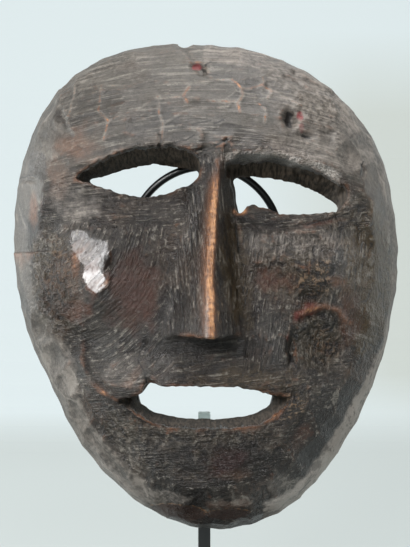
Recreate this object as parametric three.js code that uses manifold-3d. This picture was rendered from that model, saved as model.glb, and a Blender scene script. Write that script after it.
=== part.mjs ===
// A hand-carved wooden face mask on the black metal stand that shows it, in millimetres, +Z up.
// The mask faces -Y, +X is to the right of someone who looks at its face, and the origin is the
// middle of the foot plate's underside. The mask is one hollowed block of wood: a domed shell with
// its nose, eye holes and mouth, cut with an adze. It only rests on the stand.
import * as THREE from "three";
import { mergeVertices } from "three/addons/utils/BufferGeometryUtils.js";
import Module from "manifold-3d";

// The stand: a steel plate, a square post and a hoop of round wire that leans into the hollow.
const FOOT = { width: 120, depth: 120, thickness: 8 };
const POST = { side: 6.35, y: 24, top: 125.5 };
const WIRE_RADIUS = 1.8;
const HOOP = { x: 0.6, radius: 36, bottom: 106, top: 248, bottomY: 18.7, topY: -22 };
const FIT_GAP = 0.3;

// The mask's outline seen from the front: four quarter superellipses that share a middle point.
const MIDDLE = { x: 0.7, z: 207.9 };
const OUTLINE = {
  left: 94.8,
  right: 95.75,
  up: 103.5,
  down: 137.5,
  upLeft: 2.36,
  upRight: 2.38,
  downLeft: 1.88,
  downRight: 1.84,
};
// The crown leans to the left and the chin to the right. Some stretches are flatter than that, by a
// share of their distance from the middle, and one stands out.
const CROWN_LEAN = -9.4;
const CHIN_LEAN = 6.3;
const FLATTER = [
  { of: "lower left", turn: -140, spread: 14, share: 0.031 },
  { of: "right temple", turn: 12, spread: 12, share: 0.01 },
  { of: "corner right of the chin tip", turn: -72, spread: 7, share: -0.009 },
];

// The dome in front of the outline, and the short side wall behind it down to the flat back rim.
const WIDEST_Y = 4;
const RIM_Y = POST.y - POST.side / 2 - FIT_GAP;
const RIM_SCALE = 0.975;
const DOME = { depth: 51, across: 2.6, along: 2.2 };

// The hollow: how far its edge stays inside the outline, and how far its floor is from the rim.
const HOLLOW = { sideWall: 12, topWall: 15, chinWall: 16, depth: 50, across: 2.4, along: 2.2 };

// The brow: its lower edge arches over each eye and dips at the root of the nose.
const BROW = { z: 254.5, flat: 20, dropLeft: 0.0072, dropRight: 0.0098, dip: 3, dipWidth: 7 };
const BROW_RISE = 5;
const BROW_HEIGHT = 34;
const NOSE_X = 3;
// Below the brow the face steps back into the eye sockets: a sharp step over the eyes, which blurs
// towards the temples, and none at the nose.
const SOCKET = { depth: 6, height: 15, width: 70, noseFrom: 4, noseTo: 14 };
const STEP = { below: 5, sharp: 1, soft: 14, blursFrom: 42, blursTo: 62 };

// Broad swellings and hollows of the face: middle, half extents and rise above the dome.
const LOBES = [
  { of: "left cheekbone", x: -60, z: 216, across: 20, up: 15, rise: 5 },
  { of: "left cheek", x: -54, z: 192, across: 17, up: 13, rise: 4.5 },
  { of: "right cheekbone", x: 58, z: 208, across: 20, up: 22, rise: 4 },
  { of: "hollow left of the nose", x: -24, z: 205, across: 13, up: 28, rise: -4 },
  { of: "hollow right of the nose", x: 28, z: 207, across: 12, up: 28, rise: -5 },
  { of: "muzzle", x: 2, z: 150, across: 44, up: 26, rise: 5 },
  { of: "left lobe of the upper lip", x: -37, z: 147, across: 20, up: 9, rise: 3.5 },
  { of: "crease over the left lip", x: -52, z: 166, across: 9, up: 8, rise: -3 },
  { of: "worn cavity of the right cheek", x: 52, z: 160, across: 14, up: 15, rise: -3.5 },
  { of: "groove under the lip", x: 3, z: 121, across: 38, up: 6, rise: -1.5 },
  { of: "chin", x: 3, z: 104, across: 38, up: 22, rise: 5 },
];

// Flat cuts that trim the dome: a point on each, and how its depth changes across and upwards.
const TRIMS = [
  { of: "left side", x: -88, z: 190, y: -13, perX: -1.5, perZ: -0.06 },
  { of: "right side", x: 90, z: 200, y: -13, perX: 1.5, perZ: -0.06 },
  { of: "lower right side", x: 66, z: 118, y: -19, perX: 0.8, perZ: -0.6 },
  { of: "left of the chin tip", x: -14, z: 76, y: -16, perX: -0.25, perZ: -1.5 },
  { of: "right of the chin tip", x: 12, z: 77, y: -15, perX: 0.2, perZ: -1.35 },
];

// Adze marks: shallow scoops in staggered rows that sag towards the sides, deepest on the forehead.
const SCOOP = { width: 15, height: 10, depth: 0.9, sagRadius: 210, least: 0.6, spread: 0.8 };
const CALM = { from: 236, to: 246, share: 0.35 };

// The nose: a wedge that grows out of the brow down to a flat-cut base. Its flanks are given by
// how far they run to each side of the ridge, and how far out they stand there.
const NOSE = {
  top: 256,
  base: 171,
  ridgeTop: { x: 4.2, y: -46 },
  ridgeBase: { x: 2.6, y: -79 },
  ridgeWidth: 3.4,
  left: { top: 4, base: 21, power: 0.95 },
  right: { top: 4, base: 15.5, power: 0.7 },
  rootY: -30,
  flank: [
    { aside: 1.15, out: 0 },
    { aside: 1, out: 0.3 },
    { aside: 0.72, out: 0.58 },
    { aside: 0.42, out: 0.84 },
  ],
  steps: 12,
};

// The holes, as x and z around each: its edge on the face, and the matching edge in the hollow.
const LEFT_EYE = {
  front: [
    [-57.7, 241.1], [-46.4, 248.4], [-32.8, 253.3], [-19.5, 254.9], [-8.5, 254], [-1, 251],
    [-1, 244.5], [-4.5, 239], [-15.4, 234.5], [-24.4, 232.7], [-33.4, 233.2], [-50.7, 238.3],
  ],
  back: [
    [-53.6, 242], [-45.6, 243.5], [-35, 246.6], [-20.7, 248.2], [-9, 245.7], [-3.4, 244.9],
    [-2.6, 243], [-4.8, 239.4], [-15.8, 233.5], [-25.2, 231.7], [-34.6, 232], [-49.6, 238],
  ],
};
const RIGHT_EYE = {
  front: [
    [8.8, 247], [13.8, 251.8], [26, 253.3], [38.7, 251.2], [47.8, 248.2], [60.3, 240.3],
    [65.5, 234.5], [59.7, 226.1], [43, 224.5], [34.5, 225], [21.5, 229], [15.1, 224.3], [12.2, 236],
  ],
  back: [
    [13.9, 241], [19.1, 242], [30.4, 241.6], [40.4, 240], [50.2, 236.9], [58.3, 233.2],
    [63.8, 228.6], [58.2, 225], [44.2, 223.4], [35.2, 224], [22, 227.6], [16.2, 224.5], [14.8, 235.8],
  ],
};
const MOUTH = {
  front: [
    [-38.6, 140.2], [-28.8, 144.5], [-25.7, 148.6], [-12.8, 147.8], [11.4, 147.8], [25.6, 144.8],
    [39.4, 141.9], [34, 135.7], [22.7, 129.2], [0.4, 128.2], [-22, 130], [-34.1, 137.5],
  ],
  back: [
    [-31.6, 139.8], [-28, 143.6], [-24.6, 146.5], [-13.2, 146], [11.8, 146], [26, 142.6],
    [32.8, 139], [27.5, 133.7], [17, 130.1], [0.4, 129.3], [-19, 131.2], [-29.7, 135.9],
  ],
};
const HOLE_REACH = 45;
const HOLE_STEPS = 2;

// Fineness of the surfaces. The rings run from the middle of the face to the rim, and the outer
// ones make the side wall. The hollow's last ring runs on straight past the rim.
const FACE_RINGS = 26;
const FRONT_SHARE = 0.82;
const HOLLOW_RINGS = 13;
const HOLLOW_REACH = 12;
const TALLER = 1.25;
const HOOP_STEPS = 60;
const WIRE_SIDES = 8;

const WOOD = new THREE.MeshStandardMaterial({ color: 0x3a2f28, roughness: 0.5 });
const LACQUER = new THREE.MeshStandardMaterial({ color: 0x0c0d0e, roughness: 0.4, metalness: 0.6 });

const wasm = await Module();
wasm.setup();

// A closed set of triangles as a solid, turned the right way out.
function solidFrom(vertProperties, triVerts) {
  const make = (order) =>
    new wasm.Manifold(
      new wasm.Mesh({
        numProp: 3,
        vertProperties: new Float32Array(vertProperties),
        triVerts: new Uint32Array(order),
      }),
    );
  const made = make(triVerts);
  return made.volume() > 0 ? made : make([...triVerts].reverse());
}

function solidOf(geometry) {
  geometry.deleteAttribute("normal");
  geometry.deleteAttribute("uv");
  const merged = mergeVertices(geometry, 1e-3);
  return solidFrom(merged.attributes.position.array, merged.index.array);
}

function geometryOf(solid) {
  const { vertProperties, triVerts } = solid.getMesh();
  const shared = new THREE.BufferGeometry()
    .setAttribute("position", new THREE.BufferAttribute(vertProperties, 3))
    .setIndex(new THREE.BufferAttribute(triVerts, 1));
  const geometry = shared.toNonIndexed();
  geometry.computeVertexNormals();
  return geometry;
}

// A solid with matching closed loops of points one behind the other, capped at both ends.
function loft(loops, flatten) {
  const count = loops[0].length;
  const positions = loops.flat().flatMap((p) => [p.x, p.y, p.z]);
  const triangles = [];
  for (let row = 0; row + 1 < loops.length; row++) {
    for (let i = 0; i < count; i++) {
      const a = row * count + i;
      const b = row * count + ((i + 1) % count);
      triangles.push(a, b, b + count, a, b + count, a + count);
    }
  }
  const cap = THREE.ShapeUtils.triangulateShape(loops[0].map(flatten), []);
  const last = (loops.length - 1) * count;
  const clockwise = THREE.ShapeUtils.isClockWise(loops[0].map(flatten));
  for (const [a, b, c] of cap) {
    const [p, q] = clockwise ? [b, c] : [c, b];
    triangles.push(a, p, q, last + a, last + q, last + p);
  }
  return solidFrom(positions, triangles);
}

const bell = (value) => Math.exp(-value * value);
const between = (from, to, share) => from + (to - from) * share;

// Sideways shift of the whole form at a height.
function lean(z) {
  const up = z - MIDDLE.z;
  return up > 0 ? CROWN_LEAN * (up / OUTLINE.up) ** 2 : CHIN_LEAN * (up / OUTLINE.down) ** 2;
}

const NO_WALLS = { sideWall: 0, topWall: 0, chinWall: 0 };

// A place's distance from the middle, as a share of the outline's distance in that direction.
// The walls, if any, are first taken off the outline.
function outlineShare(dx, dz, walls = NO_WALLS) {
  const wide = (dx < 0 ? OUTLINE.left : OUTLINE.right) - walls.sideWall;
  const high = dz > 0 ? OUTLINE.up - walls.topWall : OUTLINE.down - walls.chinWall;
  const upPower = dx < 0 ? OUTLINE.upLeft : OUTLINE.upRight;
  const downPower = dx < 0 ? OUTLINE.downLeft : OUTLINE.downRight;
  const power = dz > 0 ? upPower : downPower;
  const plain = (Math.abs(dx / wide) ** power + Math.abs(dz / high) ** power) ** (1 / power);
  const turn = THREE.MathUtils.radToDeg(Math.atan2(dz, dx));
  const cut = FLATTER.reduce((sum, flat) => sum + flat.share * bell((turn - flat.turn) / flat.spread), 0);
  return plain / (1 - cut);
}

function browZ(x) {
  const fromNose = x - NOSE_X;
  const past = Math.max(0, Math.abs(fromNose) - BROW.flat);
  const drop = fromNose < 0 ? BROW.dropLeft : BROW.dropRight;
  return BROW.z - drop * past * past - BROW.dip * bell(fromNose / BROW.dipWidth);
}

// A repeatable number from 0 to 1 for each cell of the adze marks.
function chance(row, column) {
  const mixed = Math.sin(row * 127.1 + column * 311.7) * 43758.5453;
  return mixed - Math.floor(mixed);
}

function scoops(x, z) {
  const level = (z + (x * x) / (2 * SCOOP.sagRadius)) / SCOOP.height;
  const row = Math.floor(level);
  const place = x / SCOOP.width + chance(row, 0);
  const column = Math.floor(place);
  const u = 2 * (place - column) - 1;
  const v = 2 * (level - row) - 1;
  const share = between(CALM.share, 1, THREE.MathUtils.smoothstep(z, CALM.from, CALM.to));
  const depth = SCOOP.depth * share * (SCOOP.least + SCOOP.spread * chance(column, row));
  return -depth * (1 - u * u) * (1 - v * v);
}

// The rise of the carving above the plain dome at a place on the face.
function relief(x, z) {
  const { smoothstep } = THREE.MathUtils;
  const aboveStep = z - browZ(x) + STEP.below;
  const aside = Math.abs(x - NOSE_X);
  const inSocket = smoothstep(aside, SOCKET.noseFrom, SOCKET.noseTo) * bell(aside / SOCKET.width);
  const blur = between(STEP.sharp, STEP.soft, smoothstep(aside, STEP.blursFrom, STEP.blursTo));
  const overBrow = smoothstep(aboveStep, -blur, blur);
  const above = BROW_RISE * bell(Math.max(0, aboveStep) / BROW_HEIGHT);
  const below = -SOCKET.depth * inSocket * bell((aboveStep + SOCKET.height) / SOCKET.height);
  let rise = scoops(x, z) + between(below, above, overBrow);
  for (const lobe of LOBES) {
    rise += lobe.rise * bell((x - lobe.x) / lobe.across) * bell((z - lobe.z) / lobe.up);
  }
  return rise;
}

function forwardAt(share, { across, along }) {
  return Math.max(0, 1 - share ** across) ** (1 / along);
}

// The depth of the carved face at a place inside the outline.
function faceY(x, z) {
  const forward = forwardAt(outlineShare(x - lean(z) - MIDDLE.x, z - MIDDLE.z), DOME);
  const y = WIDEST_Y - DOME.depth * forward - relief(x, z) * Math.min(1, 2 * forward);
  const cuts = TRIMS.map((cut) => cut.y + cut.perX * (x - cut.x) + cut.perZ * (z - cut.z));
  return Math.max(y, ...cuts.filter((depth) => depth < WIDEST_Y));
}

function hollowY(x, z) {
  const share = outlineShare(x - lean(z) - MIDDLE.x, z - MIDDLE.z, HOLLOW);
  return RIM_Y - HOLLOW.depth * forwardAt(share, HOLLOW);
}

// The outer surface: share runs from 0 in the middle of the face to 1 on the back rim.
function facePoint(share, dx, dz) {
  const back = Math.max(0, share - FRONT_SHARE) / (1 - FRONT_SHARE);
  const front = Math.sin((Math.min(1, share / FRONT_SHARE) * Math.PI) / 2) ** (2 / DOME.across);
  const size = (front * between(1, RIM_SCALE, back * back)) / outlineShare(dx, dz);
  const z = MIDDLE.z + size * dz;
  const x = MIDDLE.x + size * dx + lean(z);
  return new THREE.Vector3(x, back > 0 ? between(WIDEST_Y, RIM_Y, back) : faceY(x, z), z);
}

function hollowPoint(share, dx, dz) {
  const inside = Math.min(1, (share * HOLLOW_RINGS) / (HOLLOW_RINGS - 1));
  const size = Math.sin((inside * Math.PI) / 2) ** (2 / HOLLOW.across) / outlineShare(dx, dz, HOLLOW);
  const z = MIDDLE.z + size * dz;
  const x = MIDDLE.x + size * dx + lean(z);
  const rimY = share < 1 ? RIM_Y : RIM_Y + HOLLOW_REACH;
  return new THREE.Vector3(x, inside < 1 ? hollowY(x, z) : rimY, z);
}

// The direction and share of a place on the square grid, bent so that its rings become round.
function bend(a, b) {
  const upright = Math.abs(b) > Math.abs(a);
  const share = upright ? Math.abs(b) : Math.abs(a);
  if (share === 0) return { share, turn: 0 };
  const quarter = Math.PI / 4;
  const turn = upright
    ? Math.PI / 2 - (quarter * a) / b + (b < 0 ? Math.PI : 0)
    : (quarter * b) / a + (a < 0 ? Math.PI : 0);
  return { share, turn };
}

// A bowl from a square grid bent into rings, closed by a flat lid over its last ring.
function bowl(rings, pointAt) {
  const side = 2 * rings + 1;
  const index = (i, j) => i * side + j;
  const positions = [];
  for (let i = 0; i < side; i++) {
    for (let j = 0; j < side; j++) {
      const { share, turn } = bend(i / rings - 1, j / rings - 1);
      const p = pointAt(share, Math.cos(turn), Math.sin(turn) * TALLER);
      positions.push(p.x, p.y, p.z);
    }
  }
  const triangles = [];
  for (let i = 0; i + 1 < side; i++) {
    for (let j = 0; j + 1 < side; j++) {
      const a = index(i, j);
      const b = index(i + 1, j);
      const c = index(i + 1, j + 1);
      const d = index(i, j + 1);
      if (i < rings === j < rings) triangles.push(a, b, c, a, c, d);
      else triangles.push(a, b, d, b, c, d);
    }
  }
  const last = side - 1;
  const edge = [];
  for (let k = 0; k < last; k++) edge.push(index(k, 0));
  for (let k = 0; k < last; k++) edge.push(index(last, k));
  for (let k = last; k > 0; k--) edge.push(index(k, last));
  for (let k = last; k > 0; k--) edge.push(index(0, k));
  const hub = positions.length / 3;
  positions.push(MIDDLE.x, positions[3 * edge[0] + 1], MIDDLE.z);
  edge.forEach((at, k) => triangles.push(edge[(k + 1) % edge.length], at, hub));
  return solidFrom(positions, triangles);
}

// A closed smooth line through the points of an edge, as places with a depth.
function edgeLine(points, depthAt) {
  const knots = points.map(([x, z]) => new THREE.Vector3(x, 0, z));
  const curve = new THREE.CatmullRomCurve3(knots, true, "centripetal");
  const places = curve.getPoints(HOLE_STEPS * points.length).slice(0, -1);
  return places.map((p) => p.setY(depthAt(p.x, p.z)));
}

// A hole from the face into the hollow, run on straight past both.
function hole({ front, back }) {
  const nearFace = edgeLine(front, faceY);
  const nearHollow = edgeLine(back, hollowY);
  const moved = (line, by) => line.map((p) => new THREE.Vector3(p.x, p.y + by, p.z));
  const loops = [moved(nearFace, -HOLE_REACH), nearFace, nearHollow, moved(nearHollow, HOLE_REACH)];
  return loft(loops, (p) => new THREE.Vector2(p.x, p.z));
}

// One level of the nose, from its left root over the worn ridge to its right root.
function noseLevel(share) {
  const z = between(NOSE.top, NOSE.base, share);
  const ridgeX = between(NOSE.ridgeTop.x, NOSE.ridgeBase.x, share);
  const ridgeY = between(NOSE.ridgeTop.y, NOSE.ridgeBase.y, share);
  const at = (x, out) => new THREE.Vector3(x, between(NOSE.rootY, ridgeY, out), z);
  const flank = (side, sign) => {
    const run = between(side.top, side.base, share ** side.power);
    return NOSE.flank.map(({ aside, out }) => at(ridgeX + sign * run * aside, out));
  };
  const half = NOSE.ridgeWidth / 2;
  const ridge = [at(ridgeX - half, 0.98), at(ridgeX, 1), at(ridgeX + half, 0.98)];
  return [...flank(NOSE.left, -1), ...ridge, ...flank(NOSE.right, 1).reverse()];
}

function noseSolid() {
  const levels = [];
  for (let step = 0; step <= NOSE.steps; step++) levels.push(noseLevel(step / NOSE.steps));
  return loft(levels, (p) => new THREE.Vector2(p.x, p.y));
}

function maskGeometry() {
  const face = bowl(FACE_RINGS, facePoint);
  let carved = face.add(noseSolid()).subtract(bowl(HOLLOW_RINGS, hollowPoint));
  for (const opening of [LEFT_EYE, RIGHT_EYE, MOUTH]) carved = carved.subtract(hole(opening));
  return geometryOf(carved);
}

// The hoop's centre line: two straight legs and two half circles, leaning towards the face.
class HoopPath extends THREE.Curve {
  getPoint(t) {
    const { x, radius, bottom, top, bottomY, topY } = HOOP;
    const leg = top - bottom - 2 * radius;
    const arc = Math.PI * radius;
    const length = 2 * (leg + arc);
    const run = (((t % 1) + 1) % 1) * length;
    let across = radius;
    let up = bottom + radius + run;
    if (run > leg) {
      const turn = (run - leg) / radius;
      across = radius * Math.cos(turn);
      up = top - radius + radius * Math.sin(turn);
    }
    if (run > leg + arc) {
      across = -radius;
      up = top - radius - (run - leg - arc);
    }
    if (run > 2 * leg + arc) {
      const turn = Math.PI + (run - 2 * leg - arc) / radius;
      across = radius * Math.cos(turn);
      up = bottom + radius + radius * Math.sin(turn);
    }
    const y = between(bottomY, topY, (up - bottom) / (top - bottom));
    return new THREE.Vector3(x + across, y, up);
  }
}

function hoopGeometry() {
  const path = new HoopPath();
  return geometryOf(solidOf(new THREE.TubeGeometry(path, HOOP_STEPS, WIRE_RADIUS, WIRE_SIDES, true)));
}

function block(name, material, size, middle) {
  const mesh = new THREE.Mesh(new THREE.BoxGeometry(...size), material);
  mesh.name = name;
  mesh.position.set(...middle);
  return mesh;
}

const mask = new THREE.Mesh(maskGeometry(), WOOD);
mask.name = "mask";
const hoop = new THREE.Mesh(hoopGeometry(), LACQUER);
hoop.name = "stand_hoop";

const postHeight = POST.top - FOOT.thickness;
const stand = new THREE.Group();
stand.add(
  hoop,
  block(
    "stand_post",
    LACQUER,
    [POST.side, POST.side, postHeight],
    [0, POST.y, FOOT.thickness + postHeight / 2],
  ),
  block(
    "stand_foot",
    LACQUER,
    [FOOT.width, FOOT.depth, FOOT.thickness],
    [0, 0, FOOT.thickness / 2],
  ),
);

const part = new THREE.Group();
part.add(mask, stand);

export default part;
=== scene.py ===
# A hand-carved wooden face mask on its black metal display stand, seen from the front.
import math

import bmesh
import bpy
import numpy as np
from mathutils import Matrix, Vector


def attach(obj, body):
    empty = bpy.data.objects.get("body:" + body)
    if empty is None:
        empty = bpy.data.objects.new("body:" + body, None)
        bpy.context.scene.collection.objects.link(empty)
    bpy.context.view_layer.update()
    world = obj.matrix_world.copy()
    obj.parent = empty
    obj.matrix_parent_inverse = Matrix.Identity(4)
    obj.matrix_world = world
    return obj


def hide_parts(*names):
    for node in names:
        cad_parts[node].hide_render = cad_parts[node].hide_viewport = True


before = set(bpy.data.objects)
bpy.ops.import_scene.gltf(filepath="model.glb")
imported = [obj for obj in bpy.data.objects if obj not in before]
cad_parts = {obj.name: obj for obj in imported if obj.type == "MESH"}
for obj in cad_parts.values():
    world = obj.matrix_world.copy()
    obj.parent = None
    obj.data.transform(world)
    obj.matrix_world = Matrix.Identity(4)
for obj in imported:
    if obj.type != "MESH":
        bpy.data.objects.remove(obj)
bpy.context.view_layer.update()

# The mask: one block of wood cut to a domed face with an adze and hollowed from behind with a gouge.
# It is dark with handling and smoke, half glossy, and worn to orange-brown wood on its edges.
# It hangs by its forehead on the hoop, and the rim at the chin leans on the post. Sizes are in mm.
MM = 0.001
# The outline is a rounded oval: its middle, how far it reaches each way, and how square its corners are.
MIDDLE = (0.7, 207.9)
REACH = {"left": 94.8, "right": 95.75, "up": 103.5, "down": 137.5}
CORNER = {"up left": 2.36, "up right": 2.38, "down left": 1.88, "down right": 1.84}
# How far the top and the chin lean aside.
CROWN_LEAN = -9.4
CHIN_LEAN = 6.3
# Flatter stretches of the outline: name, turn in degrees, spread in degrees, how much they take off.
FLATTER = (("lower left", -140, 14, 0.031), ("right temple", 12, 12, 0.01), ("chin corner", -72, 7, -0.009))
# The dome rises forwards from the widest place, the rim lies behind it, and the hollow follows the dome.
WIDEST_Y = 4.0
RIM_Y = 20.525
RIM_SCALE = 0.975
DOME_DEPTH = 51.0
DOME_ACROSS = 2.6
DOME_ALONG = 2.2
HOLLOW_DEPTH = 50.0
HOLLOW_ACROSS = 2.4
HOLLOW_ALONG = 2.2
WALLS = {"side": 12.0, "top": 15.0, "chin": 16.0}
NO_WALLS = {"side": 0.0, "top": 0.0, "chin": 0.0}


def bell(value):
    return np.exp(-value * value)


def eased(value, low, high):
    t = np.clip((value - low) / (high - low), 0, 1)
    return t * t * (3 - 2 * t)


def lean(z):
    up = z - MIDDLE[1]
    return np.where(up > 0, CROWN_LEAN * (up / REACH["up"]) ** 2, CHIN_LEAN * (up / REACH["down"]) ** 2)


def outline_share(x, z, walls=NO_WALLS):
    """How far out a place is on the way from the middle to the outline, less the walls."""
    dx = x - lean(z) - MIDDLE[0]
    dz = z - MIDDLE[1]
    wide = np.where(dx < 0, REACH["left"], REACH["right"]) - walls["side"]
    high = np.where(dz > 0, REACH["up"] - walls["top"], REACH["down"] - walls["chin"])
    up_power = np.where(dx < 0, CORNER["up left"], CORNER["up right"])
    down_power = np.where(dx < 0, CORNER["down left"], CORNER["down right"])
    power = np.where(dz > 0, up_power, down_power)
    plain = (np.abs(dx / wide) ** power + np.abs(dz / high) ** power) ** (1 / power)
    turn = np.degrees(np.arctan2(dz, dx))
    cut = sum(share * bell((turn - at) / spread) for _, at, spread, share in FLATTER)
    return plain / (1 - cut)


def ripple(x, z, size, seed, size_z=None):
    """Smooth uneven ups and downs from -1 to 1, about size across."""
    rng = np.random.default_rng(seed)
    lattice = rng.uniform(-1, 1, (257, 257))
    u = x / size + 97.3
    v = z / (size_z or size) + 31.7
    i = np.floor(u).astype(int)
    j = np.floor(v).astype(int)
    s = u - i
    t = v - j
    s = s * s * (3 - 2 * s)
    t = t * t * (3 - 2 * t)
    i %= 256
    j %= 256
    low = lattice[i, j] * (1 - s) + lattice[i + 1, j] * s
    high = lattice[i, j + 1] * (1 - s) + lattice[i + 1, j + 1] * s
    return low * (1 - t) + high * t


# The brow arches over each eye and dips at the nose; below it the face steps back into the sockets.
NOSE_X = 3.0
BROW_Z = 254.5
BROW_FLAT = 20.0
BROW_DROP = {"left": 0.0072, "right": 0.0098}
# The depth and half width of the dip, and the height and reach upwards of the swelling over the brow.
BROW_DIP = (3.0, 7.0)
BROW_RISE = (5.0, 34.0)
STEP_BELOW_BROW = 5.0
SOCKET = {"depth": 6.0, "height": 15.0, "width": 70.0}

# Broad swellings and hollows: middle x and z, half extents across and up, rise.
LOBES = (
    ("left cheekbone", -60, 216, 20, 15, 5),
    ("left cheek", -54, 192, 17, 13, 4.5),
    ("right cheekbone", 58, 208, 20, 22, 4),
    ("hollow left of the nose", -24, 205, 13, 28, -4),
    ("hollow right of the nose", 28, 207, 12, 28, -5),
    ("muzzle", 2, 150, 44, 26, 5),
    ("left lobe of the upper lip", -37, 147, 20, 9, 3.5),
    ("crease over the left lip", -52, 166, 9, 8, -3),
    ("worn cavity of the right cheek", 51, 163, 13, 14, -5.0),
    ("groove under the lip", 3, 121, 38, 6, -1.5),
    ("chin", 3, 104, 38, 22, 5),
    ("knuckle of the left cheek", -45, 188, 9, 8, 2.2),
)


def brow_z(x):
    from_nose = x - NOSE_X
    past = np.maximum(0, np.abs(from_nose) - BROW_FLAT)
    drop = np.where(from_nose < 0, BROW_DROP["left"], BROW_DROP["right"])
    return BROW_Z - drop * past**2 - BROW_DIP[0] * bell(from_nose / BROW_DIP[1])


def broad_relief(x, z):
    above_step = z - brow_z(x) + STEP_BELOW_BROW
    aside = np.abs(x - NOSE_X)
    in_socket = eased(aside, 4, 14) * bell(aside / SOCKET["width"])
    blur = 1 + 13 * eased(aside, 42, 62) + 12 * eased(aside, 13, 4)
    over_brow = eased(above_step / blur, -1, 1)
    above = BROW_RISE[0] * bell(np.maximum(0, above_step) / BROW_RISE[1])
    below = -SOCKET["depth"] * in_socket * bell((above_step + SOCKET["height"]) / SOCKET["height"])
    rise = below * (1 - over_brow) + above * over_brow
    for _, at_x, at_z, across, up, height in LOBES:
        rise = rise + height * bell((x - at_x) / across) * bell((z - at_z) / up)
    return rise


def oval(x, z, at_x, at_z, across, up, turn=0.0):
    """0 at the middle of an oval and 1 on its edge, squared. The turn is in degrees."""
    c, s = math.cos(math.radians(turn)), math.sin(math.radians(turn))
    u = ((x - at_x) * c + (z - at_z) * s) / across
    v = (-(x - at_x) * s + (z - at_z) * c) / up
    return u * u + v * v


def line_distance(points, x, z):
    """Distance in mm to an open line through the points."""
    nearest = np.full(np.shape(x), 1e9)
    for (ax, az), (bx, bz) in zip(points, points[1:]):
        ex, ez = bx - ax, bz - az
        t = np.clip(((x - ax) * ex + (z - az) * ez) / (ex * ex + ez * ez + 1e-9), 0, 1)
        nearest = np.minimum(nearest, (x - ax - t * ex) ** 2 + (z - az - t * ez) ** 2)
    return np.sqrt(nearest)


def near_line(points, width, x, z):
    """1 on an open line, fading away over about its width in mm."""
    return bell(line_distance(points, x, z) / width)


# Adze cuts: shallow bites in uneven rows. Where two bites meet they leave a crisp ridge.
def rows_of_cuts(seed, low, high, row_height, width, depth, first=-100.0, last=100.0):
    """Middle, half extents, depth, turn and shade of each cut in staggered rows."""
    rng = np.random.default_rng(seed)
    cuts = []
    v = low
    while v < high:
        u = first + rng.uniform(0, width)
        while u < last:
            span = width * rng.uniform(0.6, 1.35)
            cuts.append((
                u + span / 2, v + rng.uniform(-0.2, 0.2) * row_height, 0.62 * span + 1.5,
                row_height * rng.uniform(0.75, 1.1), depth * rng.uniform(0.55, 1.2),
                rng.uniform(-0.12, 0.12), rng.uniform(-1, 1),
            ))
            u += span
        v += row_height * rng.uniform(0.85, 1.15)
    return cuts


def bites(cuts, u, v):
    """How deep the deepest cut goes, how far the next is from it, and the deepest cut's own shade."""
    deepest, second, shade = (np.zeros(np.shape(u)) for _ in range(3))
    for at_u, at_v, across, up, depth, turn, tone in cuts:
        near = (np.abs(u - at_u) < across * 1.3) & (np.abs(v - at_v) < up * 1.3 + across * 0.2)
        du = u[near] - at_u
        dv = v[near] - at_v
        s = (du * math.cos(turn) + dv * math.sin(turn)) / across
        t = (-du * math.sin(turn) + dv * math.cos(turn)) / up
        bite = depth * (1 - s * s - t * t)
        old = deepest[near]
        shade[near] = np.where(bite > old, tone, shade[near])
        deepest[near] = np.maximum(old, bite)
        second[near] = np.maximum(second[near], np.minimum(old, bite))
    return deepest, deepest - second, shade


# Down the sides the rows follow the outline: arc length in mm one way, the share of this reach the other.
SIDE_REACH = 95
ONCE_ROUND = (0, 720)
FOREHEAD_CUTS = rows_of_cuts(11, 232, 318, 8.5, 24, 2.0)
LOW_CUTS = rows_of_cuts(12, 66, 232, 10, 15, 1.6)
BAND_CUTS = rows_of_cuts(13, 62, 104, 10.0, 18, 2.2, *ONCE_ROUND)
SIDE_CUTS = rows_of_cuts(14, -52, 26, 10, 15, 1.3, *ONCE_ROUND)


def turn_table(steps=721, rounds=30):
    """Arc length along the outline for each turn about the middle."""
    turns = np.linspace(-math.pi, math.pi, steps)
    reach = 60 + 0 * turns
    for _ in range(rounds):
        x = MIDDLE[0] + reach * np.cos(turns)
        z = MIDDLE[1] + reach * np.sin(turns)
        reach = reach / outline_share(x, z)
    length = np.concatenate([[0], np.cumsum(np.hypot(np.diff(x), np.diff(z)))])
    return turns, length


TURNS, LENGTHS = turn_table()


def around(x, z):
    """Arc length along the outline of the place straight outwards of this one."""
    return np.interp(np.arctan2(z - MIDDLE[1], x - MIDDLE[0]), TURNS, LENGTHS)


GRAIN_BOW = 0.0019


def forehead_level(x, z):
    """Height that follows the run of the grain over the forehead."""
    return z + GRAIN_BOW * x * x


def towards_crown(x, z):
    """1 straight above the middle, 0 at the sides and below."""
    up = z - MIDDLE[1]
    return eased(up / (np.hypot(x, up) + 1), 0.6, 0.85)


def carved(x, z):
    """How deep the adze cuts are on the front, how near their ridges are, and their shades."""
    share = outline_share(x, z) + 0.012 * ripple(x, z, 7, 15)
    above_brow = z - brow_z(x) + 2 * ripple(x, z, 6, 16)
    band_from = 0.70 + 0.4 * towards_crown(x, z)
    within = eased(share, band_from + 0.1, band_from)
    layers = (
        (FOREHEAD_CUTS, x, forehead_level(x, z), eased(above_brow, -4, 0) * within),
        (LOW_CUTS, x, z + 0.05 * x, 0.6 * eased(above_brow, 4, 0) * within),
        (BAND_CUTS, around(x, z), share * SIDE_REACH, eased(share, band_from - 0.02, band_from + 0.04)),
    )
    depth, gap, shade = (np.zeros(np.shape(x)) for _ in range(3))
    for cuts, u, v, amount in layers:
        bite, bite_gap, tone = bites(cuts, u, v)
        bite = bite * amount
        gap = np.where(bite > depth, np.minimum(bite - depth, bite_gap), np.minimum(gap, depth - bite))
        shade = np.where(bite > depth, tone, shade)
        depth = np.maximum(depth, bite)
    return depth, gap, shade


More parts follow.
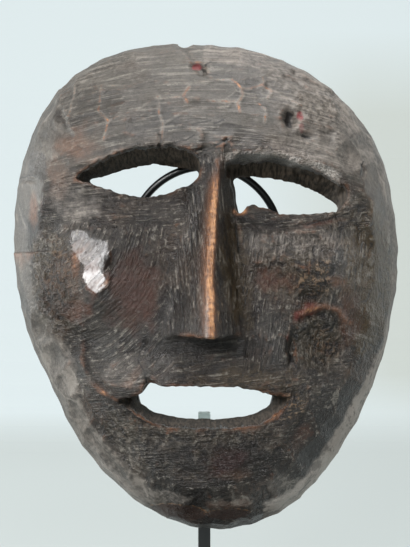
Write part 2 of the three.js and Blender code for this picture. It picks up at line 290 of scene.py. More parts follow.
# Ridges left between the larger cuts on the forehead: how plainly each is rubbed, x and z along it.
FOREHEAD_RIDGES = (
    (0.6, ((-47.6, 284), (-48.1, 271.6), (-43.1, 266.7), (-45.1, 257.7))),
    (0.6, ((-20.8, 278.1), (-20.3, 269.6), (-18.3, 264.7), (-19.3, 256.7))),
    (1.0, ((-6.9, 282.6), (-9.4, 278.1), (-7.4, 274.6))),
    (0.45, ((-19.3, 276.6), (-9.4, 277.6), (11.5, 274.6))),
    (0.25, ((-43.1, 266.7), (-30.2, 271.6), (-20.3, 278.1))),
    (0.2, ((-18.3, 264.7), (-6.4, 271.6), (10.5, 272.6))),
    (0.2, ((-59, 284), (-46, 284.6), (-33.2, 283.5))),
    (0.85, ((13, 286.5), (17, 282.1), (20.9, 282.1), (26.9, 284.5))),
    (1.0, ((17, 282.1), (17.5, 278.6), (15, 274.6), (16, 270.1))),
    (0.3, ((-1.9, 285.5), (13, 286.5))),
    (0.6, ((26.9, 288.5), (27.4, 283.3))),
    (0.85, ((27.9, 283), (30.9, 281.6), (28.9, 277.6))),
    (0.3, ((30.9, 282), (43.8, 274.6), (50, 271))),
    (0.5, ((1, 275.3), (16, 275.8))),
    (0.55, ((22.9, 275.6), (27.9, 271.6), (26.9, 264.7))),
    (0.4, ((-61.2, 286.7), (-61.2, 280), (-62.5, 271.5))),
)
JAW_RIDGES = (
    ((-54.8, 174.5), (-55, 167.4), (-55.6, 159.7), (-53.8, 149.6), (-47.3, 146), (-40.3, 141.4)),
    ((-64, 174.5), (-65.8, 162), (-63, 148), (-61, 140), (-53, 128), (-47, 121), (-33, 99)),
)
# Three lines that are both carved and coloured, as x and z along each.
CHEEK_RIM = ((44, 179.5), (48.5, 182), (54.4, 183), (61, 181), (63.5, 177), (67, 175))
LID_CRACK = ((-19.5, 259.5), (-19.2, 256), (-20, 253.5))
LIP_SPLIT = ((-26.5, 167.3), (-28.5, 163.3), (-29.5, 159.4), (-26.5, 154.5), (-25, 147))
# Raised or sunk strokes: name, width, rise, then x and z along each.
STROKES = (
    ("crease under the left cheek", 2.2, -1.6, ((-74, 186), (-64, 177), (-56, 169), (-55, 161))),
    ("crack over the left eye", 0.7, -1.3, LID_CRACK),
    ("crack at the brow", 0.8, -1.5, ((-4.1, 251.3), (2, 254), (6, 254.6), (10.6, 257.1))),
    ("crack at the left side", 0.9, -1.6, ((-90, 241.6), (-84, 242), (-78, 240.8))),
    ("crack at the right temple", 0.9, -1.5, ((72.4, 247.5), (73.4, 245), (72.8, 242.5))),
    ("crack beside the nose", 0.9, -1.6, ((14, 219), (15, 213), (16, 207))),
    ("split in the left lip", 1.0, -1.3, LIP_SPLIT),
    ("notch at the foot of that split", 2.2, -2.0, ((-25, 149.5), (-22, 147.5))),
    ("groove under the left eye", 1.6, -0.5,
     ((-51, 231), (-42, 226.5), (-28, 224.5), (-14, 225), (-8, 228))),
    ("groove under the right eye", 1.8, -1.3, ((18, 221), (27, 219.5), (36, 218.8))),
    ("scar under the right eye", 1.5, -1.5, ((35.6, 217.1), (44, 219), (52, 221), (65, 223.7))),
    ("edge of the raised lip", 1.4, 0.5, ((-44, 143.5), (-52, 149), (-56, 158), (-56, 168))),
    ("groove inside that edge", 1.2, -0.8, ((-45, 147), (-50.5, 150.5), (-53.5, 158), (-54, 166))),
    ("slit under the lower lip", 0.9, -1.1, ((-39, 138.5), (-33, 134), (-27, 130.6), (-21.5, 129))),
    ("step on the right cheek", 1.0, -0.8, ((23, 211), (34, 209.6))),
    ("upper groove of the top", 1.0, -1.2, ((-9.5, 305), (-7.5, 301), (-5, 297))),
    ("tear at the right crown", 2.0, -3.2, ((43, 293), (50, 288.5), (56, 286), (62, 284))),
    ("second tear at the right crown", 1.3, -2.2, ((38, 289.5), (44, 287.5), (47, 284), (52, 283))),
    ("rim over the worn cavity", 1.3, 0.8, CHEEK_RIM),
    ("shadow under that rim", 1.4, -1.6, ((43, 177), (48.5, 179), (54.4, 179.8), (59.5, 178), (61, 174))),
    ("right wall of the worn cavity", 1.4, -1.2, ((61, 174), (62, 168), (60, 161), (55, 156))),
    ("fold at the left of the chin", 3.0, -1.2, ((-44, 124), (-36, 113), (-27, 104))),
)
# Holes and worn hollows: name, middle x and z, half extents, depth.
PITS = (
    ("knot hole on the crown", -3.6, 293.5, 2.6, 1.8, 2.4),
    ("second hole of the crown's knot", -1.2, 290.5, 1.8, 2.4, 2.0),
    ("crack out of the crown's knot", 4.5, 297.5, 4.5, 0.8, 1.6),
    ("knot hole on the forehead", 38.6, 267.4, 2.8, 4.6, 5.5),
    ("red end of that knot", 43.6, 269.6, 1.3, 2.0, 1.2),
    ("hollow under that knot", 45.4, 259.4, 4.5, 2.2, 1.8),
    ("pit right of the knot", 57, 262, 3, 1.5, 0.8),
    ("deep corner of the worn cavity", 39, 163, 1.6, 7, 2.6),
    ("floor of the worn cavity", 51, 167, 10, 9, 2.2),
    ("hole over the rim", 47, 187.5, 5, 2.4, 2.0),
    ("hole by the right mouth corner", 36, 145, 2.4, 2.2, 1.5),
    ("dent in the chin", -22, 124, 5, 3, 0.8),
)
# Knocks in the outline: name, x, z, reach along and across it, turn in degrees.
KNOCKS = (
    ("notch in the crown", -9.3, 311.0, 3.6, 4.6, 0),
    ("right crown chip", 57.5, 294.5, 6.0, 1.7, -33),
    ("right temple chip", 96.2, 220.5, 1.3, 5.6, 0),
    ("left temple chip", -92.6, 241.5, 2.0, 0.9, 0),
    ("lower left step", -96.0, 206.0, 1.4, 2.2, 0),
    ("right cheek chip", 95.6, 181.0, 1.0, 3.0, 8),
)


# The holes, as x and z around each: its edge on the face, and the matching edge in the hollow.
LEFT_EYE_FACE = (
    (-57.7, 241.1), (-46.4, 248.4), (-32.8, 253.3), (-19.5, 254.9), (-12, 254.4), (-6.5, 252.2),
    (-2.6, 248.8), (-1.2, 244), (-4.5, 239), (-15.4, 234.5), (-24.4, 232.7), (-33.4, 233.2), (-50.7, 238.3),
)
LEFT_EYE_HOLLOW = (
    (-53.6, 242), (-45.6, 243.5), (-35, 246.6), (-20.7, 248.2), (-9, 245.7), (-3.4, 244.9),
    (-2.6, 243), (-4.8, 239.4), (-15.8, 233.5), (-25.2, 231.7), (-34.6, 232), (-49.6, 238),
)
RIGHT_EYE_FACE = (
    (9.2, 245.5), (12.5, 247.8), (20, 248.7), (28, 249.3), (35, 247.7), (42, 246.6), (52, 243.8),
    (60.3, 239), (65.5, 234.5), (59.7, 226.1), (43, 224.5), (34.5, 225), (21.5, 229), (15.1, 224.3),
    (12.2, 236),
)
RIGHT_EYE_HOLLOW = (
    (13.9, 241), (19.1, 242), (30.4, 241.6), (40.4, 240), (50.2, 236.9), (58.3, 233.2),
    (63.8, 228.6), (58.2, 225), (44.2, 223.4), (35.2, 224), (22, 227.6), (16.2, 224.5), (14.8, 235.8),
)
MOUTH_FACE = (
    (-38.6, 140.2), (-28.8, 144.5), (-25.7, 148.6), (-12.8, 147.8), (11.4, 147.8), (25.6, 144.8),
    (39.4, 141.9), (34, 135.7), (22.7, 129.2), (0.4, 128.2), (-22, 130), (-34.1, 137.5),
)
MOUTH_HOLLOW = (
    (-31.6, 139.8), (-28, 143.6), (-24.6, 146.5), (-13.2, 146), (11.8, 146), (26, 142.6),
    (32.8, 139), (27.5, 133.7), (17, 130.1), (0.4, 129.3), (-19, 131.2), (-29.7, 135.9),
)
HOLES = ((LEFT_EYE_FACE, LEFT_EYE_HOLLOW), (RIGHT_EYE_FACE, RIGHT_EYE_HOLLOW), (MOUTH_FACE, MOUTH_HOLLOW))


def smooth_loop(points, steps=5):
    """A closed rounded line through the points."""
    p = np.array(points, float)
    before = np.roll(p, 1, 0)
    after = np.roll(p, -1, 0)
    beyond = np.roll(p, -2, 0)
    line = []
    for k in range(steps):
        t = k / steps
        line.append(
            0.5 * (2 * p + (after - before) * t + (2 * before - 5 * p + 4 * after - beyond) * t**2
                   + (3 * p - before - 3 * after + beyond) * t**3)
        )
    return np.stack(line, 1).reshape(-1, 2)


def distance_to(loop, x, z):
    """Signed distance in mm to a closed line, negative inside."""
    closed = [tuple(p) for p in loop] + [tuple(loop[0])]
    crossings = np.zeros(np.shape(x), int)
    for (ax, az), (bx, bz) in zip(closed, closed[1:]):
        spans = (az > z) != (bz > z)
        if abs(bz - az) > 1e-9:
            crossings += spans & (x < ax + (z - az) * (bx - ax) / (bz - az))
    return line_distance(closed, x, z) * np.where(crossings % 2 == 1, -1, 1)


# A rough chamfer was split off along the right eye's upper edge.
LID_WIDTH = 3.3
LID_DEPTH = 2.4
LID_SPAN = (9, 61)
FAR = 99.0


def over_lid(x, z):
    """How far a place is above the right eye's upper edge, in mm."""
    above = distance_to(smooth_loop(RIGHT_EYE_FACE), x, z)
    above = above + 0.5 * ripple(x, z, 4, 88) + 0.3 * ripple(x, z, 1.8, 89)
    low_end = 243.5 - 0.06 * np.maximum(x - 40, 0) ** 1.5
    return np.where((x > LID_SPAN[0]) & (x < LID_SPAN[1]) & (z > low_end) & (z < 262), above, FAR)


def feature_relief(x, z):
    above = over_lid(x, z)
    ends = eased(x, 9, 13) * eased(x, 62, 52)
    rise = -LID_DEPTH * ends * np.clip(1 - above / LID_WIDTH, 0, 1.3)
    for plain, line in FOREHEAD_RIDGES:
        rise += (0.15 + 0.2 * plain) * near_line(line, 1.1, x, z)
    for line in JAW_RIDGES:
        rise += 0.9 * near_line(line, 2.4, x, z)
    for _, width, height, line in STROKES:
        rise += height * near_line(line, width, x, z)
    ragged = 1 + 0.4 * ripple(x, z, 2.4, 19)
    for _, at_x, at_z, across, up, depth in PITS:
        away = oval(x, z, at_x, at_z, across, up) * ragged
        rise -= depth * np.exp(-(away**1.5))
    return rise


# Eroded wood: name, middle x and z, half extents, strength.
ERODED = (
    ("worn cavity of the right cheek", 51, 167, 13, 13, 1.0),
    ("over the rim of the right cheek", 48, 192, 10, 8, 0.9),
    ("right cheek", 42, 200, 19, 17, 0.55),
    ("right eye corner", 62, 224, 12, 10, 0.6),
    ("knotty left cheek", -68, 190, 12, 19, 1.0),
    ("chin", -2, 119, 42, 15, 0.5),
    ("left of the lower lip", -35, 127, 12, 9, 0.7),
    ("right crown", 56, 276, 16, 10, 0.45),
    ("right mouth corner", 42, 144, 12, 8, 0.6),
)


def erosion(x, z):
    worn = np.zeros(np.shape(x))
    for _, at_x, at_z, across, up, strength in ERODED:
        worn = np.maximum(worn, strength * np.exp(-(oval(x, z, at_x, at_z, across, up) ** 1.5)))
    return worn


# Flat polished cuts: name, slope across and upwards, how deep it bites, its gloss, x and z round it.
FLATS = (
    ("upper polished flat of the left cheek", -0.18, 0.19, 0.1, 0.8, (
        (-61.5, 218.6), (-56.6, 218.8), (-50.2, 214.3), (-42.3, 212.7), (-41.5, 206.5), (-42, 197),
        (-43, 191.5), (-47.7, 189), (-51.7, 191), (-53.6, 196), (-54, 201), (-58.6, 207), (-60.5, 212))),
    ("lower polished flat of the left cheek", -0.18, 0.19, 0.0, 1.0, (
        (-53.2, 200), (-47.7, 200.5), (-43.3, 196.6), (-43.3, 192), (-47.7, 189), (-51.7, 191),
        (-53.4, 196))),
    ("flat of the upper lip's left lobe", -0.20, 0.15, 0.4, 0.3, (
        (-46, 150), (-42, 158), (-33, 163), (-25, 165), (-24, 158), (-26, 149), (-38, 146.5))),
    ("inner flat of the upper lip", -0.10, 0.14, 0.3, 0.3, (
        (-23, 164), (-16, 164), (-12.5, 158), (-12, 149.5), (-19, 148.5), (-23, 153))),
    ("flat of the right cheek", 0.0, 0.14, 0.3, 0.25, (
        (20, 214), (35, 216), (50, 214), (56, 208), (48, 203), (36, 204), (21, 203))),
)


def flat_inset(x, z, loop):
    """How far inside a flat's uneven edge a place is, in mm."""
    fray = 0.9 * ripple(x, z, 6.5, 17) + 0.7 * ripple(x, z, 2.4, 18)
    return fray - distance_to(loop, x, z)


def flat_cuts(x, z, y):
    """The face with the polished flats cut into it."""
    for _, per_x, per_z, sink, _, loop in FLATS:
        at_x, at_z = np.mean(loop, 0)
        nearest = np.argmin((x - at_x) ** 2 + (z - at_z) ** 2)
        plane = y.ravel()[nearest] + sink + per_x * (x - at_x) + per_z * (z - at_z)
        y = y + eased(flat_inset(x, z, loop), -1.6, 0.4) * np.clip(plane - y, -1.0, 1.6)
    return y


def relief(x, z):
    depth, _, _ = carved(x, z)
    worn = erosion(x, z)
    rough = 0.18 * ripple(x, z, 3.1, 3) + 0.1 * ripple(x, z, 1.7, 4)
    crumble = 0.7 * ripple(x, z, 4.6, 5) + 0.65 * ripple(x, z, 2.3, 6) + 0.35 * ripple(x, z, 1.5, 7)
    return broad_relief(x, z) - depth + feature_relief(x, z) + rough + worn * crumble


def forward(share, across, along):
    return np.maximum(0, 1 - share**across) ** (1 / along)


# Flat cuts that trim the dome: a point on each, and how its depth changes across and upwards.
TRIMS = (
    ("left side", -88, 190, -13, -1.5, -0.06),
    ("right side", 90, 200, -13, 1.5, -0.06),
    ("lower right side", 66, 118, -19, 0.8, -0.6),
    ("left of the chin tip", -14, 76, -16, -0.25, -1.5),
    ("right of the chin tip", 12, 77, -15, 0.2, -1.35),
)


def trim_y(x, z):
    untrimmed = -200.0
    depths = np.full_like(x, untrimmed)
    for _, at_x, at_z, y, per_x, per_z in TRIMS:
        depth = y + per_x * (x - at_x) + per_z * (z - at_z)
        depths = np.maximum(depths, np.where(depth < WIDEST_Y, depth, untrimmed))
    return depths


# The nose: a wedge out of the brow with a flat-cut base, its ridge rubbed round.
NOSE_TOP = 256.0
NOSE_BASE = 171.0
RIDGE_X = (7.1, 2.5, 2.6)
RIDGE_AT = (0.0, 0.74, 1.0)
RIDGE_Y = (-46.0, -79.0)
NOSE_ROOT_Y = -30.0
# Width of each side at the top and at the base, and the power that it widens by.
NOSE_LEFT = (6.5, 21.0, 0.95)
NOSE_RIGHT = (3.0, 15.5, 0.7)
# How far out the flank stands for each step aside, 1 being the side's whole width.
FLANK_ASIDE = (0.0, 0.09, 0.13, 0.42, 0.72, 1.0, 1.2, 4.0)
FLANK_OUT = (1.0, 0.985, 0.96, 0.76, 0.51, 0.24, 0.0, -6.0)
FLANK_STEPS = np.linspace(0, 4, 801)
FLANK_CURVE = np.interp(FLANK_STEPS, FLANK_ASIDE, FLANK_OUT)
for _ in range(2):
    rounded = np.convolve(np.pad(FLANK_CURVE, 12, "edge"), np.full(25, 1 / 25), "valid")
    FLANK_CURVE = np.where(FLANK_STEPS > 0.2, rounded, FLANK_CURVE)


def nose_aside(x, z):
    share = np.clip((NOSE_TOP - z) / (NOSE_TOP - NOSE_BASE), 0, 1)
    ridge_x = np.interp(share, RIDGE_AT, RIDGE_X) + 0.5 * ripple(z, z * 0, 9, 34)
    left = NOSE_LEFT[0] + (NOSE_LEFT[1] - NOSE_LEFT[0]) * share ** NOSE_LEFT[2]
    right = NOSE_RIGHT[0] + (NOSE_RIGHT[1] - NOSE_RIGHT[0]) * share ** NOSE_RIGHT[2]
    return np.where(x < ridge_x, (x - ridge_x) / left, (x - ridge_x) / right), share


def nose_y(x, z):
    aside, share = nose_aside(x, z)
    ridge_y = RIDGE_Y[0] + (RIDGE_Y[1] - RIDGE_Y[0]) * share
    out = np.interp(np.abs(aside), FLANK_STEPS, FLANK_CURVE)
    return NOSE_ROOT_Y + (ridge_y - NOSE_ROOT_Y) * out


def hole_edges(x, z):
    """For each hole, signed distances to its edge on the face and its edge in the hollow."""
    chisel = 0.6 * ripple(x, z, 1.5, 51, 6)
    fray = 0.45 * ripple(x, z, 3.2, 52)
    return [
        (distance_to(smooth_loop(front), x, z) + fray + chisel,
         distance_to(smooth_loop(back), x, z) + fray * 0.5 + chisel * 0.4)
        for front, back in HOLES
    ]


def soft_min(a, b, radius):
    h = np.maximum(radius - np.abs(a - b), 0) / radius
    return np.minimum(a, b) - h * h * radius / 4


def soft_max(a, b, radius):
    return -soft_min(-a, -b, radius)


def as_distance(field, spacing):
    gx, gy, gz = np.gradient(field, *spacing)
    return np.clip(field / np.sqrt(gx * gx + gy * gy + gz * gz + 1e-12), -8, 8)


def slope_share(depth, spacing):
    gx, gz = np.gradient(depth, spacing)
    return 1 / np.sqrt(1 + gx * gx + gz * gz)


# The whole skin is drawn from one field over a grid of cells, negative inside the wood.
CELL = 0.85
GRID = ((-98.0, 99.5), (-83.0, 24.0), (66.5, 315.5))
xs, ys, zs = (np.arange(low, high, CELL) for low, high in GRID)
X, Z = np.meshgrid(xs, zs, indexing="ij")
Y = ys[None, :, None].astype(np.float32)


def upright(flat):
    """A map of the front, ready to be used at every depth."""
    return flat[:, None, :].astype(np.float32)


share = outline_share(X, Z)
ahead = forward(np.minimum(share, 1), DOME_ACROSS, DOME_ALONG)
raised = relief(X, Z) * np.minimum(1, 2 * ahead)
smooth_face = WIDEST_Y - DOME_DEPTH * ahead - raised
face = flat_cuts(X, Z, smooth_face)
raised = raised - (face - smooth_face)
hollow_share = outline_share(X, Z, WALLS)
HOLLOW_CUTS = rows_of_cuts(15, 60, 320, 13, 34, 2.4)
gouges = 0.3 * ripple(X, Z, 11, 21, 17) + 0.8 - bites(HOLLOW_CUTS, X, Z)[0]
hollow = RIM_Y - HOLLOW_DEPTH * forward(np.minimum(hollow_share, 1), HOLLOW_ACROSS, HOLLOW_ALONG) + gouges

spacing = (CELL, CELL, CELL)
back = np.clip((Y - WIDEST_Y) / (RIM_Y - WIDEST_Y), 0, 1)
taper = 1 + (RIM_SCALE - 1) * back**2
depth = np.maximum(0, (WIDEST_Y - Y - upright(raised)) / DOME_DEPTH)
strip = np.arange(0, LENGTHS[-1] + 2, 1.0)
side_bite, _, _ = bites(SIDE_CUTS, *np.meshgrid(strip, ys, indexing="ij"))
side_bite = side_bite[np.clip(around(X, Z), 0, len(strip) - 1).astype(int)].transpose(0, 2, 1)
side_bite = (side_bite * upright(eased(share, 0.8, 0.93)) / SIDE_REACH).astype(np.float32)
body = as_distance((upright(share) / taper + side_bite) ** DOME_ACROSS + depth**DOME_ALONG - 1, spacing)
trim = trim_y(X, Z) + 0.6 * bites(BAND_CUTS, around(X, Z), share * SIDE_REACH)[0]
TRIM_ROUND = 0.6
body = soft_max(body, (upright(trim) - Y) * upright(slope_share(np.maximum(trim, face), CELL)), TRIM_ROUND)
nose = nose_y(X, Z) + 0.12 * ripple(X, Z, 2.2, 31) + 0.25 * ripple(X, Z, 5, 32, 12)
nose_field = (upright(nose) - Y) * upright(slope_share(nose, CELL))
under_nose = NOSE_BASE + 0.4 * ripple(*np.meshgrid(xs, ys, indexing="ij"), 4, 33)
BASE_ROUND = 1.2
over_base = (under_nose[:, :, None] - zs[None, None, :]).astype(np.float32)
nose_field = soft_max(nose_field, over_base, BASE_ROUND)
nose_field = np.maximum(nose_field, upright(Z - NOSE_TOP))
NOSE_FILLET = 2.4
fillet = NOSE_FILLET + 6 * eased(Z, 225, 250) + 5 * eased(-X, -4, 10)
body = soft_min(body, nose_field, upright(fillet))
rim = RIM_Y - 0.4 + 0.35 * ripple(X, Z, 14, 41)
RIM_ROUND = 1.6
HOLLOW_ROUND = 3
CUT_ROUND = 0.5
body = soft_max(body, Y - upright(rim), RIM_ROUND)
inward = np.maximum(0, (RIM_Y - Y + upright(gouges)) / HOLLOW_DEPTH)
hollowed = as_distance(upright(hollow_share) ** HOLLOW_ACROSS + inward**HOLLOW_ALONG - 1, spacing)
body = soft_max(body, -hollowed, HOLLOW_ROUND)
through = np.clip((Y - upright(face)) / upright(np.maximum(hollow - face, 4)), 0, 1)
for front_edge, back_edge in hole_edges(X, Z):
    hole = upright(front_edge) * (1 - through) + upright(back_edge) * through
    body = soft_max(body, -hole, CUT_ROUND)
for _, at_x, at_z, along, out, turn in KNOCKS:
    knock = (np.sqrt(oval(X, Z, at_x, at_z, along, out, turn)) - 1) * min(along, out)
    body = soft_max(body, -upright(knock + 0.3 * ripple(X, Z, 2.5, 61)), CUT_ROUND)


def skin_of(field, origin, cell):
    """The zero surface of a field as points in mm and four-sided faces that point outwards."""
    inside = field < 0
    corners = np.zeros(tuple(n - 1 for n in field.shape), np.int8)
    steps = [(i, j, k) for i in (0, 1) for j in (0, 1) for k in (0, 1)]
    nx, ny, nz = corners.shape
    for i, j, k in steps:
        corners += inside[i : nx + i, j : ny + j, k : nz + k]
    cells = np.argwhere((corners > 0) & (corners < 8))
    number = np.full(corners.shape, -1, np.int32)
    number[tuple(cells.T)] = np.arange(len(cells))
    total = np.zeros((len(cells), 3))
    count = np.zeros(len(cells))
    for a in steps:
        for axis in range(3):
            if a[axis]:
                continue
            b = list(a)
            b[axis] = 1
            low = field[tuple((cells + a).T)]
            high = field[tuple((cells + b).T)]
            crossed = (low < 0) != (high < 0)
            t = np.where(crossed, low / np.where(crossed, low - high, 1), 0)
            point = np.array(a, float)[None].repeat(len(cells), 0)
            point[:, axis] += t
            total += point * crossed[:, None]
            count += crossed
    points = (cells + total / count[:, None]) * cell + np.array(origin)
    faces = []
    for axis in range(3):
        u, v = (axis + 1) % 3, (axis + 2) % 3
        low = [slice(None)] * 3
        high = [slice(None)] * 3
        low[axis] = slice(0, -1)
        high[axis] = slice(1, None)
        edges = np.argwhere(inside[tuple(low)] != inside[tuple(high)])
        edges = edges[(edges[:, u] > 0) & (edges[:, v] > 0)]
        edges = edges[(edges[:, u] < corners.shape[u]) & (edges[:, v] < corners.shape[v])]
        ring = []
        for du, dv in ((-1, -1), (0, -1), (0, 0), (-1, 0)):
            at = edges.copy()
            at[:, u] += du
            at[:, v] += dv
            ring.append(number[tuple(at.T)])
        quads = np.stack(ring, 1)
        leaving = inside[tuple(edges.T)]
        quads[~leaving] = quads[~leaving][:, ::-1]
        faces.append(quads)
    return points, np.concatenate(faces)


points, quads = skin_of(body, (xs[0], ys[0], zs[0]), CELL)


def mesh_from(name, points, faces):
    mesh = bpy.data.meshes.new(name)
    mesh.vertices.add(len(points))
    mesh.vertices.foreach_set("co", (points * MM).astype(np.float32).ravel())
    mesh.loops.add(faces.size)
    mesh.loops.foreach_set("vertex_index", faces.astype(np.int32).ravel())
    mesh.polygons.add(len(faces))
    sides = faces.shape[1]
    mesh.polygons.foreach_set("loop_start", np.arange(0, faces.size, sides, dtype=np.int32))
    mesh.update(calc_edges=True)
    mesh.validate()
    return mesh


def read(items, key, size=1, kind=np.int32):
    """One value, or one row of size values, for each of a mesh's items."""
    flat = np.empty(len(items) * size, kind)
    items.foreach_get(key, flat)
    return flat.reshape(-1, size) if size > 1 else flat


def normals_of(mesh):
    return read(mesh.vertex_normals, "vector", 3, np.float32).astype(float)


def placed(name, data):
    """A new object with this data, in the scene."""
    made = bpy.data.objects.new(name, data)
    bpy.context.scene.collection.objects.link(made)
    return made


def settled(source, name):
    """An object's mesh as its modifiers leave it; the object itself goes."""
    bpy.context.view_layer.update()
    evaluated = source.evaluated_get(bpy.context.evaluated_depsgraph_get())
    mesh = bpy.data.meshes.new_from_object(evaluated)
    mesh.name = name
    bpy.data.objects.remove(source)
    return mesh


def map_at(flat, x, z):
    """A map of the front, read at scattered places."""
    i = np.clip((x - xs[0]) / CELL, 0, len(xs) - 2)
    k = np.clip((z - zs[0]) / CELL, 0, len(zs) - 2)
    i0 = i.astype(int)
    k0 = k.astype(int)
    s = i - i0
    t = k - k0
    low = flat[i0, k0] * (1 - s) + flat[i0 + 1, k0] * s
    high = flat[i0, k0 + 1] * (1 - s) + flat[i0 + 1, k0 + 1] * s
    return low * (1 - t) + high * t


# The hollow is thinned first and then the whole skin, so that the front keeps the finest mesh.
SKIN_TRIANGLES = 196000
HOLLOW_KEPT = 0.25
HOLLOW_SKIN = 1.5
raw_mesh = mesh_from("mask_raw", points, quads)
raw = placed("mask_raw", raw_mesh)
in_hollow = points[:, 1] - map_at(hollow, points[:, 0], points[:, 2]) > -HOLLOW_SKIN
group = raw.vertex_groups.new(name="hollow")
group.add(np.nonzero(in_hollow)[0].tolist(), 1.0, "REPLACE")
first = raw.modifiers.new("hollow_thinner", "DECIMATE")
first.vertex_group = "hollow"
first.ratio = 1 - in_hollow.mean() * (1 - HOLLOW_KEPT)
second = raw.modifiers.new("skin_thinner", "DECIMATE")
second.ratio = min(1.0, SKIN_TRIANGLES / (2 * len(quads) * first.ratio))
mask_mesh = settled(raw, "mask_carved")
bpy.data.meshes.remove(raw_mesh)
mask = placed("mask_carved", mask_mesh)
mask_mesh.polygons.foreach_set("use_smooth", np.ones(len(mask_mesh.polygons), bool))


# Fine marks: the run of the last strokes over the wood, which also carries its grain.
def part_of_face(x, y, z):
    """Which course the strokes take here: side, nose, left cheek, right cheek, lower face or forehead."""
    jitter = 4 * ripple(x, z, 12, 76) + 2 * ripple(x, z, 4.5, 77)
    on_face = z < brow_z(x) - 1 + 0.3 * jitter
    on_nose = on_face & (np.abs(nose_aside(x, z)[0]) < 1.05) & (z > NOSE_BASE + 0.5)
    on_side = outline_share(x, z) > 0.78 + 0.3 * towards_crown(x, z) + 0.006 * jitter
    left_cheek = on_face & (x < -16 + jitter) & (z > 160 - 0.3 * (x + 40) + jitter) & (z < 217 + jitter)
    right_cheek = on_face & (x > 17) & (z > 158 + jitter) & (z < 216 + 0.5 * jitter)
    return np.select([on_side, on_nose, left_cheek, right_cheek, on_face], [0, 1, 2, 3, 4], 5)


# On the left cheek the strokes run round this place.
RING_MIDDLE = (-70, 226)
RING_SQUASH = 0.85
RING_REACH = 40


def stroke_courses(x, y, z):
    """Place along and across the tool strokes in mm, for each of the six courses."""
    aside, up = x - RING_MIDDLE[0], z - RING_MIDDLE[1]
    ring = np.hypot(aside, up * RING_SQUASH)
    angle = np.arctan2(up, aside)
    share = outline_share(x, z)
    along = [around(x, z), z, angle * RING_REACH, z + 0.15 * x, x, x]
    across = [share * 26 - y * 0.28, x + 0.1 * z, ring, x - 0.15 * z, z - 0.1 * x, forehead_level(x, z)]
    return np.stack(along), np.stack(across)


P = read(mask_mesh.vertices, "co", 3, np.float32).astype(float) / MM
x, y, z = P.T
N = normals_of(mask_mesh)
pairs = read(mask_mesh.edges, "vertices", 2)
ends = np.concatenate([pairs[:, 0], pairs[:, 1]])
others = np.concatenate([pairs[:, 1], pairs[:, 0]])
valence = np.bincount(ends, minlength=len(P))


def spread(values, rounds):
    """Each value averaged with its neighbours, over and over."""
    for _ in range(rounds):
        total = np.bincount(ends, values[others], len(P))
        values = 0.5 * values + 0.5 * total / np.maximum(valence, 1)
    return values


worn = erosion(x, z)
front = eased(map_at(hollow, x, z) - y, 0.5, 2.5)
polish = np.zeros(len(P))
for _, _, _, _, gloss, loop in FLATS:
    polish = np.maximum(polish, gloss * eased(flat_inset(x, z, loop), -0.3, 0.5))
course = part_of_face(x, y, z)
along, across = stroke_courses(x, y, z)
strokes = np.zeros(len(P))
for k, (u, v) in enumerate(zip(along, across)):
    marks_here = ripple(u, v, 16, 71, 1.5) * 0.6 + ripple(u, v, 9, 72, 0.9) * 0.4
    strokes += marks_here * spread((course == k).astype(float), 4)
pits = np.minimum(0, ripple(x, z, 1.6, 73) + 0.25) * worn
patchy = 0.5 + 0.5 * ripple(x, z, 14, 74)
gouge_run = ripple(x, z, 3.5, 75, 30)
STROKE_HEIGHT = 0.2
PIT_DEPTH = 0.7
GOUGE_HEIGHT = 0.25
POLISHED_AWAY = 0.85
front_marks = STROKE_HEIGHT * strokes * (0.4 + patchy) + PIT_DEPTH * pits
fine = front * (1 - POLISHED_AWAY * polish) * front_marks + (1 - front) * GOUGE_HEIGHT * gouge_run
P = P + N * fine[:, None]
mask_mesh.vertices.foreach_set("co", (P * MM).astype(np.float32).ravel())
mask_mesh.update()
N = normals_of(mask_mesh)


def standing_out(rounds):
    """How far each place stands out of its surroundings in mm, negative in a groove."""
    around_it = np.stack([spread(P[:, axis], rounds) for axis in range(3)], 1)
    return ((P - around_it) * N).sum(1)


sharp = standing_out(3)
broad = standing_out(16)


